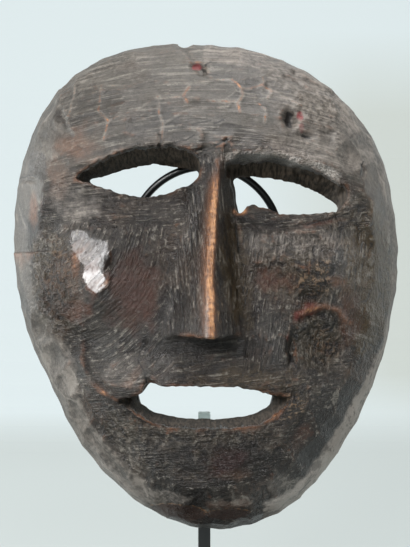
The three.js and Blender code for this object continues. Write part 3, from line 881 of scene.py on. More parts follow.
# Places of one colour or finish, by kind: middle x and z, half extents, turn in degrees, strength.
# The shadow places are painted shade, the light places painted light and the gold places painted glints;
# some dust and pale places are painted light too.
PATCHES = {
    "worn": (
        (-57, 257, 12, 11, 0, 0.22), (-66, 243, 6, 12, 0, 0.15), (-46, 144.5, 8, 1.5, -28, 0.6),
        (30, 134.5, 8, 3, 22, 0.5), (16, 107, 6, 4, 0, 0.3), (-65, 190, 12, 19, 0, 0.25),
        (-58, 203, 3, 9, 0, 0.5), (16.3, 226.6, 4, 3, 25, 0.9), (60, 195, 4, 4, 0, 0.45),
        (-79, 228, 3, 10, 0, 0.4), (10, 91.5, 11, 3.2, 0, 0.2),
    ),
    "light": (
        (48, 99, 26, 9, 38, 0.5), (72, 130, 16, 7, 60, 0.3), (-44, 98, 24, 7, -38, 0.12),
    ),
    "red": (
        (-33, 189, 13, 18, 0, 0.52), (9, 112, 12, 9, 0, 0.75), (44, 122, 8, 5, 30, 0.3),
        (37.4, 169, 1.3, 2.4, 0, 0.9), (45, 180, 8, 5, 20, 0.75), (-50, 196, 4, 12, 0, 0.5),
        (66, 178, 7, 16, 0, 0.35), (52, 220.5, 12, 1.6, 10, 0.45), (32, 195, 9, 7, 0, 0.35),
        (-58, 180, 9, 6, 0, 0.5),
    ),
    "dust_and_painted_light": (
        (-35, 153, 10, 7, 0, 0.24), (-17, 156, 5, 4, 0, 0.35), (68, 264, 18, 22, 0, 0.26),
        (-72, 268, 14, 20, 0, 0.1), (60, 228, 12, 8, 0, 0.28), (-50, 237, 9, 3.5, -18, 0.4),
        (-58, 231, 14, 11, 0, 0.34), (40, 211, 24, 9, 0, 0.3), (-30, 228, 22, 7, 0, 0.12),
        (-18, 94.6, 16, 4.2, -10, 0.6), (-38, 112, 9, 14, 25, 0.1), (-16, 117, 9, 7, 0, 0.12),
        (12, 92.5, 12, 3.2, 0, 0.35), (30, 98, 10, 6, 30, 0.2), (50, 274, 26, 20, -35, 0.31),
        (44, 252, 26, 7, -10, 0.42), (78, 250, 8, 18, 0, 0.12),
    ),
    "pale_and_sheen": (
        (-60, 227, 11, 10, 0, 0.6),
    ),
    "brown": (
        (76, 193, 16, 38, 0, 1.0), (14, 200, 7, 34, 8, 0.6), (-68, 196, 12, 26, 0, 0.8),
        (20, 150, 26, 7, 0, 0.4),
    ),
    "shadow": (
        (15, 205, 7, 34, 8, 0.25), (2, 165.5, 25, 6.5, 0, 1.0), (47, 189, 8, 5, 0, 0.6),
        (-33, 190, 14, 22, 0, 0.5), (-67, 192, 12, 22, 0, 0.8), (76, 190, 14, 34, 0, 0.45),
        (52, 166, 13, 12, 0, 0.4), (8, 114, 30, 12, 0, 1.0), (-24, 261, 20, 7, 0, 0.15),
        (-20, 240, 14, 30, 0, 0.15),
    ),
    "gold": (
        (50, 196, 11, 10, 0, 0.25), (5.5, 182, 3, 14, 0, 0.4), (-66, 198, 9, 14, 0, 0.45),
        (39, 137, 9, 7, 30, 0.35), (54, 166, 10, 9, 0, 0.15),
    ),
}
UPPER_LEFT_LID = ((-50, 247), (-40, 252.5), (-30, 256), (-20, 257.5), (-8, 257))


def patches(kind):
    value = np.zeros(len(P))
    fray = 0.5 * ripple(x, z, 7, 81) + 0.45 * ripple(x, z, 2.8, 82)
    for at_x, at_z, reach, up, turn, strength in PATCHES[kind]:
        inside = 1 - oval(x, z, at_x, at_z, reach, up, turn) + fray
        value = np.maximum(value, strength * eased(inside, -0.2, 0.9))
    return value * front


def cuts_seen(x, y, z):
    """Nearness of the ridges and shade of the cuts, round the sides too."""
    _, gap, tone = carved(x, z)
    _, side_gap, side_tone = bites(SIDE_CUTS, around(x, z), y)
    on_flank = (outline_share(x, z) > 0.93) & (y > -12)
    return np.where(on_flank, side_gap, gap), np.where(on_flank, side_tone, tone)


ridge_gap, _ = cuts_seen(x, y, z)
ridge_lines = np.full(len(P), FAR)
for plain, line in FOREHEAD_RIDGES:
    ridge_lines = np.minimum(ridge_lines, line_distance(line, x, z) + 0.75 * (1 - plain))
wall = np.zeros(len(P))
edge = np.zeros(len(P))
deep = np.clip((y - map_at(face, x, z)) / np.maximum(map_at(hollow - face, x, z), 4), 0, 1)
for front_edge, back_edge in hole_edges(x, z):
    hole = front_edge * (1 - deep) + back_edge * deep
    wall = np.maximum(wall, bell(hole / 1.2) * eased(deep, 0.08, 0.2))
    edge = np.maximum(edge, bell(front_edge / 1.2) * (1 - eased(deep, 0.1, 0.3)))
edge_break = eased(ripple(x, z, 6, 83) + 0.4 * ripple(x, z, 2.5, 87), -0.5, 0.8)
nose_side, nose_down = nose_aside(x, z)
on_nose = (z > NOSE_BASE - 1) & (z < NOSE_TOP - 4) & (y < -40)
ridge_reach = np.where(nose_side < 0.04, 0.15 + 0.20 * (1 - nose_down), 0.10)
on_ridge = bell((nose_side - 0.04) / ridge_reach) * on_nose * eased(nose_down, 0.12, 0.24)
# A painted highlight: a thin light line just left of the nose ridge, where its bevel would catch the lamp.
glint_at = nose_side + 0.085 + 0.012 * ripple(x, z, 3, 93)
painted_ridge_glint = bell(glint_at / 0.03) * on_nose * eased(nose_down, 0.42, 0.6)
tip_edge = bell((z - NOSE_BASE) / 1.3) * (y < -48) * bell(nose_side / 0.7)
ridge_break = eased(ripple(x, z, 17, 84) + 0.3 * ripple(x, z, 5, 85), -0.25, 0.6)
wear = np.maximum.reduce([
    patches("worn"),
    edge * edge_break * np.where(z < 175, 0.5, 0.15),
    on_ridge * (0.95 + 0.15 * ripple(x, z, 3, 86, 9)),
    0.7 * tip_edge * edge_break,
    0.75 * near_line(CHEEK_RIM, 1.5, x, z) * (0.5 + 0.5 * edge_break),
    0.2 * near_line(JAW_RIDGES[0], 0.9, x, z) * edge_break,
    np.clip(sharp * 4 - 0.2, 0, 0.45) * edge_break,
]) * front
# The split along the right eye's upper edge is rough wood, painted lighter too for the light that its slope
# would catch.
above_lid = over_lid(x, z)
lid = eased(above_lid, -0.6, 0.2) * eased(above_lid, LID_WIDTH + 0.4, LID_WIDTH - 0.4) * (deep < 0.5)
dusty_edge = near_line(UPPER_LEFT_LID, 1.2, x, z) * edge_break * (deep < 0.1)
# Walls in the mouth that face up get dust and a painted sheen.
shelf_dust_and_sheen = 0.22 * wall * eased(N[:, 2], 0.3, 0.7) * (z < 150)
# The pale band down the sides: where it begins for each turn about the middle, in degrees.
BAND_FROM = (
    (-180, 0.87), (-168, 0.87), (-150, 0.80), (-141, 0.79), (-126, 0.84), (-108, 0.85), (-99, 0.88),
    (-96, 1.2), (-80, 1.2), (-77, 0.9), (-57, 0.895), (-40, 0.915), (-18, 0.95), (-4, 0.945), (17, 0.9),
    (40, 0.86), (140, 0.85), (180, 0.87),
)
turn = np.degrees(np.arctan2(z - MIDDLE[1], x - MIDDLE[0]))
past_band = outline_share(x, z) - np.interp(turn, *zip(*BAND_FROM))
past_band += 0.016 * ripple(x, z, 9, 90) + 0.008 * ripple(x, z, 3, 91)
on_band = eased(past_band, -0.012, 0.012)
# Low on the band, most on the right, the wood is painted lighter: painted light where its facets would catch
# the lamps.
toward_front = 0.2 + 0.8 * eased(y, 8, -14)
low_side = np.where(x < 0, 0.1, 0.45) + eased(z, 190, 140) * np.where(x < 0, 0.25, 1.1)
painted_band_light = toward_front * on_band * low_side
dust_and_painted_light = np.maximum.reduce([patches("dust_and_painted_light"), 0.4 * dusty_edge, shelf_dust_and_sheen, painted_band_light]) * front
# A painted highlight: a faint light line along the crease at the nose's left edge.
NOSE_CREASE = ((-5.8, 228), (-9, 212), (-12.5, 195), (-16.6, 175.5))
crease = 0.12 * near_line(NOSE_CREASE, 0.9, x, z) * edge_break
# Light grey marks: the rough split lid, and painted light on the nose, its crease and the light places of
# the band.
light = np.maximum.reduce([
    lid * (0.25 + 0.6 * edge_break),
    0.8 * painted_ridge_glint * edge_break,
    crease,
    patches("light") * on_band,
]) * front
red = patches("red")
# A pale grey lies on the forehead and down the sides: partly paler wood, partly painted sheen from the light
# above and at the sides.
over_brow = eased(z - brow_z(x), -4, 6)
pale_and_sheen = np.maximum.reduce([over_brow, on_band * (0.8 + 0.2 * (x < 0)), patches("pale_and_sheen")]) * front
# Darker where the surface sinks into grooves, and painted shade on the walls of the holes and on the shadow
# places.
darker_in_grooves = np.clip(-sharp * 5, 0, 1) * 0.6 + np.clip(-broad * 0.5, 0, 1) * 0.4
groove_dark_and_painted_shade = np.maximum.reduce([wall, np.clip(darker_in_grooves, 0, 1), patches("shadow")]) * (1 - 0.9 * polish)
line_wear = np.minimum(ridge_lines, 0.85 + ridge_gap * 4 + 1.5 * (1 - ridge_break) + 5 * (deep > 0.2))


def keep(name, *channels, domain="POINT"):
    attribute = mask_mesh.attributes.new(name, "FLOAT_VECTOR", domain)
    attribute.data.foreach_set("vector", np.stack(channels, 1).astype(np.float32).ravel())


# The channels: wear, red, and dust with painted light; roughness, groove darkening with painted shade, and
# the hollow; pale grey with painted sheen, ridge lines and polish; brown, painted golden glints, and the
# split lid with painted light.
keep("colour_and_painted_light_marks", wear, red, dust_and_painted_light)
keep("surface_and_painted_shade_marks", np.maximum.reduce([worn, wall * 0.8, lid]), groove_dark_and_painted_shade * (1 - lid), 1 - front)
keep("finish_and_sheen_marks", pale_and_sheen, np.clip(line_wear, 0, 4), polish)
keep("tint_and_painted_light_marks", patches("brown"), patches("gold"), light)
# The strokes and the shade change from cut to cut with a clean edge, so each face's corners keep them.
corner_point = read(mask_mesh.loops, "vertex_index")
sides_of = read(mask_mesh.polygons, "loop_total")
face_of_corner = np.repeat(np.arange(len(sides_of)), sides_of)
centres = np.stack([np.bincount(face_of_corner, P[corner_point, axis]) / sides_of for axis in range(3)])
_, face_shade = cuts_seen(*centres)
face_course = part_of_face(*centres)[face_of_corner]
corner_shade = face_shade[face_of_corner]
along, across = (run[face_course, corner_point] for run in stroke_courses(*P.T))
shade_here = corner_shade * front[corner_point]
keep("stroke_run", along, across + 2.5 * corner_shade, shade_here, domain="CORNER")


def node_kit(tree):
    """Short ways of adding nodes to a tree: each one returns its outputs, or the one that is used."""

    def plug(node, sockets):
        for key, value in sockets.items():
            if isinstance(value, bpy.types.NodeSocket):
                tree.links.new(value, node.inputs[key])
            else:
                node.inputs[key].default_value = value

    def add(kind, inputs=None, **settings):
        node = tree.nodes.new(kind)
        for key, value in settings.items():
            setattr(node, key, value)
        plug(node, inputs or {})
        return node.outputs

    def mix(share, a, b):
        a, b = (c if isinstance(c, bpy.types.NodeSocket) else (*c, 1) for c in (a, b))
        return add("ShaderNodeMix", {0: share, 6: a, 7: b}, data_type="RGBA")[2]

    def maths(operation, a, b=0.0, c=0.0):
        return add("ShaderNodeMath", {0: a, 1: b, 2: c}, operation=operation)[0]

    def times(a, b):
        return maths("MULTIPLY", a, b)

    def plus(a, b):
        return maths("ADD", a, b)

    def noise(vector, scale, detail=3.0, rough=0.55, twist=0.0):
        sizes = {"Scale": scale, "Detail": detail, "Roughness": rough, "Distortion": twist}
        return add("ShaderNodeTexNoise", {"Vector": vector, **sizes})[0]

    def between(value, low, high, to_low=0.0, to_high=1.0):
        return add("ShaderNodeMapRange", {0: value, 1: low, 2: high, 3: to_low, 4: to_high})[0]

    def stretched(vector, scale):
        return add("ShaderNodeMapping", {"Vector": vector, "Scale": scale})[0]

    def bumped(height, strength, distance):
        return add("ShaderNodeBump", {"Height": height, "Strength": strength, "Distance": distance})[0]

    def finish(colour, roughness, normal):
        """Plug these into the material's shader, and return the shader."""
        shader = tree.nodes["Principled BSDF"]
        plug(shader, {"Base Color": colour, "Roughness": roughness, "Normal": normal})
        return shader

    return add, mix, maths, times, plus, noise, between, stretched, bumped, finish


def new_material(name):
    made = bpy.data.materials.new(name)
    made.use_nodes = True
    return made


wood = new_material("smoked_wood")
add, mix, maths, times, plus, noise, between, stretched, bumped, finish = node_kit(wood.node_tree)
NEAR_BLACK = (0.006, 0.0045, 0.004)
DARK_BROWN = (0.021, 0.0155, 0.012)
WARM_BROWN = (0.054, 0.027, 0.013)
OLIVE_BROWN = (0.055, 0.032, 0.008)
CRUMB_BROWN = (0.050, 0.037, 0.023)
PALE_GREY = (0.058, 0.052, 0.044)
LINE_GREY = (0.235, 0.215, 0.185)
ROUGH_GREY = (0.42, 0.39, 0.36)
GOLDEN = (0.30, 0.16, 0.065)
FACET_BROWN = (0.030, 0.017, 0.013)
CRACK_BLACK = (0.004, 0.003, 0.0025)
RED_BROWN = (0.052, 0.018, 0.009)
WORN_BROWN = (0.120, 0.052, 0.026)
WORN_ORANGE = (0.43, 0.22, 0.10)
KNOT_RED = (0.13, 0.016, 0.018)
DUSTY = (0.24, 0.21, 0.185)
DRY_BROWN = (0.100, 0.064, 0.043)
here = add("ShaderNodeTexCoord")["Object"]


def marks(name):
    """The three channels of one of the mask's attributes, in the material being made."""
    return add("ShaderNodeSeparateXYZ", {0: add("ShaderNodeAttribute", attribute_name=name)[1]})


def centred(value):
    return maths("SUBTRACT", value, 0.5)


def blend(share, a, b):
    """A mix of two plain numbers."""
    return add("ShaderNodeMix", {0: share, 2: a, 3: b}, data_type="FLOAT")[0]


def vector_maths(operation, a, b=(0.0, 0.0, 0.0)):
    return add("ShaderNodeVectorMath", {0: a, 1: b}, operation=operation)


wear_at, red_at, dust_and_painted_light_at = marks("colour_and_painted_light_marks")
rough_at, groove_dark_and_painted_shade_at, hollow_at = marks("surface_and_painted_shade_marks")
pale_and_sheen_at, line_at, polish_at = marks("finish_and_sheen_marks")
olive_at, painted_gold_glint_at, split_wood_and_painted_light_at = marks("tint_and_painted_light_marks")
run_marks = add("ShaderNodeAttribute", attribute_name="stroke_run")[1]
shade_at = add("ShaderNodeSeparateXYZ", {0: run_marks})[2]
run = stretched(run_marks, (1.0, 1.0, 0.0))
cloud = noise(here, 55.0, 4.0)
speckle = noise(here, 520.0, 3.0)
grain = noise(here, 1500.0, 2.0, 0.7)
lines = noise(stretched(run, (0.06, 0.8, 1.0)), 1.0, 4.0, 0.7)
fine_lines = noise(stretched(run, (0.045, 1.1, 1.0)), 1.0, 3.0, 0.6)
broad_lines = noise(stretched(run, (0.03, 0.25, 1.0)), 1.0, 3.0)
# Dark oiled wood, warmer in clouds and along the grain, under its pale grey, which is partly painted sheen,
# and its fine hair lines.
base = mix(between(cloud, 0.38, 0.62), NEAR_BLACK, DARK_BROWN)
base = mix(times(between(noise(here, 28.0, 5.0), 0.48, 0.68), 0.5), base, WARM_BROWN)
base = mix(between(lines, 0.52, 0.75, 0.0, 0.35), base, WARM_BROWN)
pale_share = times(pale_and_sheen_at, between(broad_lines, 0.35, 0.65, 0.45, 0.95))
base = mix(pale_share, base, PALE_GREY)
base = mix(times(pale_and_sheen_at, between(lines, 0.34, 0.46, 0.3, 0.0)), base, DARK_BROWN)
hair_lines = between(fine_lines, 0.60, 0.72, 0.0, 0.2)
line_share = times(between(pale_and_sheen_at, 0.0, 1.0, 0.3, 1.0), hair_lines)
base = mix(line_share, base, LINE_GREY)
base = mix(times(between(shade_at, 0.0, -1.0), 0.55), base, NEAR_BLACK)
base = mix(times(between(shade_at, 0.0, 1.0), 0.35), base, PALE_GREY)
# Tool lines: long and single where the wood is pale, short and close together where it is dark.
long_noise = noise(stretched(run, (0.018, 0.36, 1.0)), 1.0, 2.0, 0.4)
long_line = between(maths("ABSOLUTE", centred(long_noise)), 0.008, 0.03, 1.0, 0.0)
long_line = times(long_line, between(noise(here, 60.0), 0.42, 0.6))
comb_noise = noise(stretched(run, (0.11, 0.8, 1.0)), 1.0, 2.0, 0.6)
comb_line = times(between(comb_noise, 0.56, 0.68), between(noise(here, 50.0), 0.42, 0.58))
tool_line = blend(pale_and_sheen_at, comb_line, long_line)
base = mix(times(tool_line, 0.2), base, LINE_GREY)
base = mix(olive_at, base, OLIVE_BROWN)
ridge_at = times(between(line_at, 1.5, 0.7, 0.0, 0.4), pale_and_sheen_at)
base = mix(times(ridge_at, between(noise(here, 140.0), 0.4, 0.6)), base, LINE_GREY)
# The height of the fine marks, which also darkens its valleys as painted shade and lightens its crests as
# painted glints.
calm = between(pale_and_sheen_at, 0.0, 1.0, 1.0, 0.42)
grit = noise(here, 480.0, 3.0, 0.62)
from_lines = times(centred(lines), 0.6)
from_fine = times(centred(fine_lines), 0.45)
from_grit = times(centred(grit), between(rough_at, 0.0, 1.0, 0.6, 2.2))
relief_height = plus(plus(from_lines, from_fine), from_grit)
relief_height = plus(relief_height, times(tool_line, 0.12))
base = mix(times(between(relief_height, -0.02, -0.11, 0.0, 0.92), calm), base, NEAR_BLACK)
base = mix(times(between(relief_height, 0.07, 0.16, 0.0, 0.55), calm), base, LINE_GREY)
base = mix(times(between(grain, 0.5, 0.38, 0.0, 0.5), calm), base, NEAR_BLACK)
# Crumbled wood, then golden glints painted on the crests, red tints, and the dry hollow.
curl = noise(here, 110.0, 5.0, 0.6, 1.8)
crumbs = mix(between(curl, 0.43, 0.53), NEAR_BLACK, CRUMB_BROWN)
crumbs = mix(between(curl, 0.57, 0.68, 0.0, 0.4), crumbs, LINE_GREY)
base = mix(times(rough_at, 0.85), base, crumbs)
base = mix(times(painted_gold_glint_at, between(relief_height, 0.04, 0.14)), base, GOLDEN)
base = mix(hollow_at, base, DRY_BROWN)
grain_break = between(speckle, 0.35, 0.6, 0.55, 1.0)
base = mix(times(between(red_at, 0.0, 0.5), grain_break), base, RED_BROWN)
base = mix(times(between(red_at, 0.5, 1.0), grain_break), base, KNOT_RED)
# Edges and ridges rubbed to orange-brown, dust and painted light more on what stands out, then groove
# darkening and painted shade.
line_wander = plus(line_at, between(noise(here, 420.0), 0.3, 0.7, -0.35, 0.35))
line_break = between(noise(here, 170.0), 0.4, 0.6, 0.2, 1.0)
on_line = times(between(line_wander, 0.8, 0.15, 0.0, 0.8), line_break)
all_wear = maths("MAXIMUM", times(wear_at, between(lines, 0.3, 0.6, 0.65, 1.1)), on_line)
curl_line = between(maths("ABSOLUTE", centred(curl)), 0.01, 0.06, 1.3, 0.2)
all_wear = times(all_wear, blend(rough_at, grain_break, curl_line))
base = mix(between(all_wear, 0.0, 0.5), base, WORN_BROWN)
base = mix(between(all_wear, 0.4, 1.0), base, WORN_ORANGE)
base = mix(times(dust_and_painted_light_at, between(relief_height, -0.10, 0.10, 0.25, 1.1)), base, DUSTY)
base = mix(times(groove_dark_and_painted_shade_at, 0.85), base, NEAR_BLACK)

# Cracks, as width in mm and x and z along each; cut facets and knots, as middle and half extents.
CRACKS = (
    (0.5, ((-3.1, 250.3), (3, 252.9), (10.8, 257.2))),
    (0.6, ((-12.4, 255.7), (-8, 257.2), (-4.4, 258.7))),
    (0.5, ((-5.4, 264.2), (-1, 265.2), (3, 266))),
    (0.7, ((4.3, 264.7), (8.8, 266.2))),
    (0.5, LID_CRACK),
    (0.6, ((-90, 243.5), (-84, 243.8), (-78, 242.8))),
    (0.7, ((73.2, 249.2), (71.2, 243.1))),
    (0.7, ((14, 219), (15, 212.8), (15.2, 207.8))),
    (0.6, LIP_SPLIT),
    (0.7, ((-37.1, 138.3), (-30, 133), (-24.6, 130))),
    (0.7, ((45.2, 93.5), (50.5, 98.8))),
    (0.9, ((36.6, 168), (37.3, 162.7), (41.5, 155.5))),
    (0.8, ((0.5, 293.9), (3.2, 296.2))),
    (0.7, ((-1.2, 292.5), (1.5, 289.5), (6, 288.5))),
    (2.8, ((38.8, 269.8), (37.8, 267.4), (38.4, 264.6))),
    (1.2, ((44, 259.8), (47.4, 259))),
    (0.4, ((-46, 226.6), (-40, 225.4), (-31, 224), (-23, 223.4))),
    (0.5, ((18, 221.8), (23, 220.4), (33, 219.6))),
    (0.5, ((46, 219.6), (58, 223), (66, 225))),
    (1.0, ((-10.5, 309), (-8.5, 306.5))),
)
CHIN_FACETS = ((-12.5, 84.6, 13.3, 5.2), (11.0, 84.6, 10.3, 3.3))
RED_KNOTS = ((-3.4, 293.6, 2.3, 1.9, 0.9), (43.5, 269.6, 1.7, 2.4, 0.9), (43.8, 263.4, 1.2, 2.6, 0.35))
wobble = add("ShaderNodeTexNoise", {"Vector": here, "Scale": 350.0, "Detail": 3.0})[1]
wobble = vector_maths("SUBTRACT", wobble, (0.5, 0.5, 0.5))[0]
on_plane = stretched(here, (1000.0, 0.0, 1000.0))
flat_place = vector_maths("ADD", on_plane, stretched(wobble, (1.8, 0.0, 1.8)))[0]


def gap_to_line(points):
    """Distance in mm from an open line drawn on the front plane."""
    nearest = FAR
    for (ax, az), (bx, bz) in zip(points, points[1:]):
        run_to = Vector((bx - ax, 0, bz - az))
        from_start = vector_maths("SUBTRACT", flat_place, (ax, 0, az))[0]
        per_length = tuple(run_to / run_to.length_squared)
        part = vector_maths("DOT_PRODUCT", from_start, per_length)[1]
        part = maths("MINIMUM", maths("MAXIMUM", part, 0.0), 1.0)
        foot = add("ShaderNodeVectorMath", {0: tuple(run_to), "Scale": part}, operation="SCALE")[0]
        nearest = maths("MINIMUM", vector_maths("DISTANCE", from_start, foot)[1], nearest)
    return nearest


def reach_of(at_x, at_z, across, up):
    """1 on the rim of an oval on the front plane, less inside."""
    away = vector_maths("SUBTRACT", flat_place, (at_x, 0, at_z))[0]
    return vector_maths("LENGTH", vector_maths("MULTIPLY", away, (1 / across, 0, 1 / up))[0])[1]


on_front = between(hollow_at, 0.5, 0.1)
for at_x, at_z, across, up in CHIN_FACETS:
    reach = reach_of(at_x, at_z, across, up)
    inside_oval = times(between(reach, 1.03, 0.97), on_front)
    base = mix(times(inside_oval, 0.8), base, FACET_BROWN)
    upper = between(add("ShaderNodeSeparateXYZ", {0: flat_place})[2], at_z - 0.1 * up, at_z + 0.5 * up)
    off_rim = maths("ABSOLUTE", maths("SUBTRACT", reach, 1.07))
    rim_wear = times(between(off_rim, 0.09, 0.02), upper)
    rim_wear = times(rim_wear, between(speckle, 0.4, 0.55, 0.0, 0.25))
    base = mix(times(rim_wear, on_front), base, WORN_ORANGE)
for at_x, at_z, across, up, strength in RED_KNOTS:
    in_knot = between(reach_of(at_x, at_z, across, up), 1.15, 0.75, 0.0, strength)
    base = mix(times(times(in_knot, on_front), grain_break), base, KNOT_RED)
cracked = 0.0
for width, points in CRACKS:
    in_crack = between(gap_to_line(points), width * 0.5 + 0.25, width * 0.5 - 0.15, 0.0, 0.9)
    cracked = maths("MAXIMUM", in_crack, cracked)
base = mix(times(cracked, on_front), base, CRACK_BLACK)
light_grain = times(between(grain, 0.36, 0.56, 0.35, 1.0), between(lines, 0.36, 0.56, 0.35, 1.0))
base = mix(times(split_wood_and_painted_light_at, light_grain), base, ROUGH_GREY)
roughness = between(lines, 0.3, 0.7, 0.27, 0.40)
roughness = plus(roughness, times(shade_at, 0.06))
for at, amount in ((rough_at, 0.06), (dust_and_painted_light_at, 0.2), (hollow_at, 0.25), (pale_and_sheen_at, 0.15), (polish_at, -0.13)):
    roughness = plus(roughness, times(at, amount))
relief_height = plus(relief_height, times(centred(grain), 0.25))
relief_height = times(relief_height, between(polish_at, 0.0, 0.9, 1.0, 0.1))
relief_height = times(relief_height, between(pale_and_sheen_at, 0.0, 1.0, 1.0, 0.35))
OILED_IOR = 1.43
BUMP_STRENGTH = 0.9
BUMP_DEPTH = 0.0019
wood_shader = finish(base, roughness, bumped(relief_height, BUMP_STRENGTH, BUMP_DEPTH))
wood_shader.inputs["IOR"].default_value = OILED_IOR
mask_mesh.materials.clear()
mask_mesh.materials.append(wood)

# The hollow and the walls of the holes were never handled: dry brown wood, smoked dark, with gouge marks.
inside = new_material("dry_gouged_wood")
add, mix, maths, times, plus, noise, between, stretched, bumped, finish = node_kit(inside.node_tree)
WALL_BROWN = (0.018, 0.014, 0.010)
WALL_RUBBED = (0.075, 0.058, 0.044)
SMOKED_BROWN = (0.044, 0.030, 0.021)
here = add("ShaderNodeTexCoord")["Object"]
gouge_lines = noise(stretched(here, (900.0, 200.0, 60.0)), 1.0, 4.0, 0.65)
dry = mix(between(noise(here, 40.0, 4.0), 0.35, 0.65), SMOKED_BROWN, DRY_BROWN)
dry = mix(between(gouge_lines, 0.5, 0.38, 0.0, 0.8), dry, NEAR_BLACK)
wall_tone = mix(between(gouge_lines, 0.4, 0.62), WALL_BROWN, WALL_RUBBED)
dry = mix(between(marks("surface_and_painted_shade_marks")[2], 1.0, 0.3), dry, wall_tone)
dry = mix(times(marks("colour_and_painted_light_marks")[2], between(gouge_lines, 0.3, 0.6, 0.4, 1.0)), dry, DUSTY)
dry_rough = between(gouge_lines, 0.3, 0.7, 0.7, 0.9)
dry_shader = finish(dry, dry_rough, bumped(gouge_lines, 0.9, 0.0012))
DRY_SPECULAR = 0.12
dry_shader.inputs["Specular IOR Level"].default_value = DRY_SPECULAR
mask_mesh.materials.append(inside)
unhandled = np.maximum(wall * (1 - lid), 1 - front)[corner_point]
face_inside = np.bincount(face_of_corner, unhandled) / sides_of > 0.5
mask_mesh.polygons.foreach_set("material_index", face_inside.astype(np.int32))
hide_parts("mask")
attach(mask, "root")

# The hoop: 3.6 mm round steel wire bent to a long closed loop and painted satin black.
# It leans forwards with height, and the mask's forehead hangs on its top, seen through the eyes.
# The bow at its foot is welded to the front of the post, behind the chin.
WIRE_RADIUS = 1.8
HOOP_X = 0.6
HOOP_RADIUS = 36.0
HOOP_BOTTOM = (106.0, 18.7)
HOOP_TOP = (248.0, -22.0)
HOOP_STEPS = 40
SIDE_STEPS = 14
WIRE_SIDES = 20


def hoop_path():
    """The loop's middle line: straight sides between two half circles, leaning forwards with height."""
    turns = np.linspace(0, math.pi, HOOP_STEPS)
    low_z = HOOP_BOTTOM[0] + HOOP_RADIUS
    high_z = HOOP_TOP[0] - HOOP_RADIUS
    arch = [(HOOP_X + HOOP_RADIUS * math.cos(a), high_z + HOOP_RADIUS * math.sin(a)) for a in turns]
    bow = [(HOOP_X - HOOP_RADIUS * math.cos(a), low_z - HOOP_RADIUS * math.sin(a)) for a in turns]
    left = [(HOOP_X - HOOP_RADIUS, v) for v in np.linspace(high_z, low_z, SIDE_STEPS)[1:-1]]
    right = [(HOOP_X + HOOP_RADIUS, v) for v in np.linspace(low_z, high_z, SIDE_STEPS)[1:-1]]
    path = []
    for u, v in arch + left + bow + right:
        up = (v - HOOP_BOTTOM[0]) / (HOOP_TOP[0] - HOOP_BOTTOM[0])
        path.append((u, HOOP_BOTTOM[1] + (HOOP_TOP[1] - HOOP_BOTTOM[1]) * up, v))
    return path


def loop_curve(name, path, closed):
    curve = bpy.data.curves.new(name, "CURVE")
    curve.dimensions = "3D"
    spline = curve.splines.new("POLY")
    spline.points.add(len(path) - 1)
    for point, place in zip(spline.points, path):
        point.co = (*[value * MM for value in place], 1)
    spline.use_cyclic_u = closed
    return placed(name, curve)


def size_tree(name, **sizes):
    """A geometry tree with an input for each size, as a socket kind and a value, and its entry."""
    tree = bpy.data.node_groups.new(name, "GeometryNodeTree")
    tree.interface.new_socket("Geometry", in_out="INPUT", socket_type="NodeSocketGeometry")
    for label, (kind, value) in sizes.items():
        socket = tree.interface.new_socket(label, in_out="INPUT", socket_type=kind)
        socket.default_value = value
    tree.interface.new_socket("Geometry", in_out="OUTPUT", socket_type="NodeSocketGeometry")
    return tree, node_kit(tree)[0], tree.nodes.new("NodeGroupInput").outputs


def finish_tree(add, geometry, material):
    """Smooth and realize what the tree has made, give it its material and send it out."""
    smooth = add("GeometryNodeSetShadeSmooth", {"Geometry": geometry})[0]
    real = add("GeometryNodeRealizeInstances", {0: smooth})[0]
    painted = add("GeometryNodeSetMaterial", {"Geometry": real, "Material": material})[0]
    add("NodeGroupOutput", {0: painted})


def made_by(tree, source, name):
    """Runs the tree on an object and returns the result as a plain mesh object."""
    modifier = source.modifiers.new(name, "NODES")
    modifier.node_group = tree
    return placed(name, settled(source, name))


PAINT_BLACK = (0.0045, 0.0055, 0.0058)
RUBBED_STEEL = (0.16, 0.165, 0.16)
paint = new_material("black_satin_paint")
add, mix, maths, times, plus, noise, between, stretched, bumped, finish = node_kit(paint.node_tree)
here = add("ShaderNodeTexCoord")["Object"]
chips = between(noise(here, 260.0, 4.0, 0.7), 0.68, 0.76)
paint_colour = mix(times(chips, 0.35), PAINT_BLACK, RUBBED_STEEL)
paint_rough = between(noise(here, 90.0, 3.0), 0.3, 0.7, 0.30, 0.42)
finish(paint_colour, paint_rough, bumped(noise(here, 1400.0, 2.0), 0.25, 0.0002))

wire_tree, add, entry = size_tree(
    "bent_wire", wire_radius=("NodeSocketFloat", WIRE_RADIUS * MM), sides=("NodeSocketInt", WIRE_SIDES)
)
ring_sizes = {"Radius": entry["wire_radius"], "Resolution": entry["sides"]}
ring = add("GeometryNodeCurvePrimitiveCircle", ring_sizes)
wire = add("GeometryNodeCurveToMesh", {"Curve": entry["Geometry"], "Profile Curve": ring["Curve"]})
finish_tree(add, wire["Mesh"], paint)
hoop = made_by(wire_tree, loop_curve("hoop_line", hoop_path(), True), "hoop_wire")
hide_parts("stand_hoop")
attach(hoop, "root")

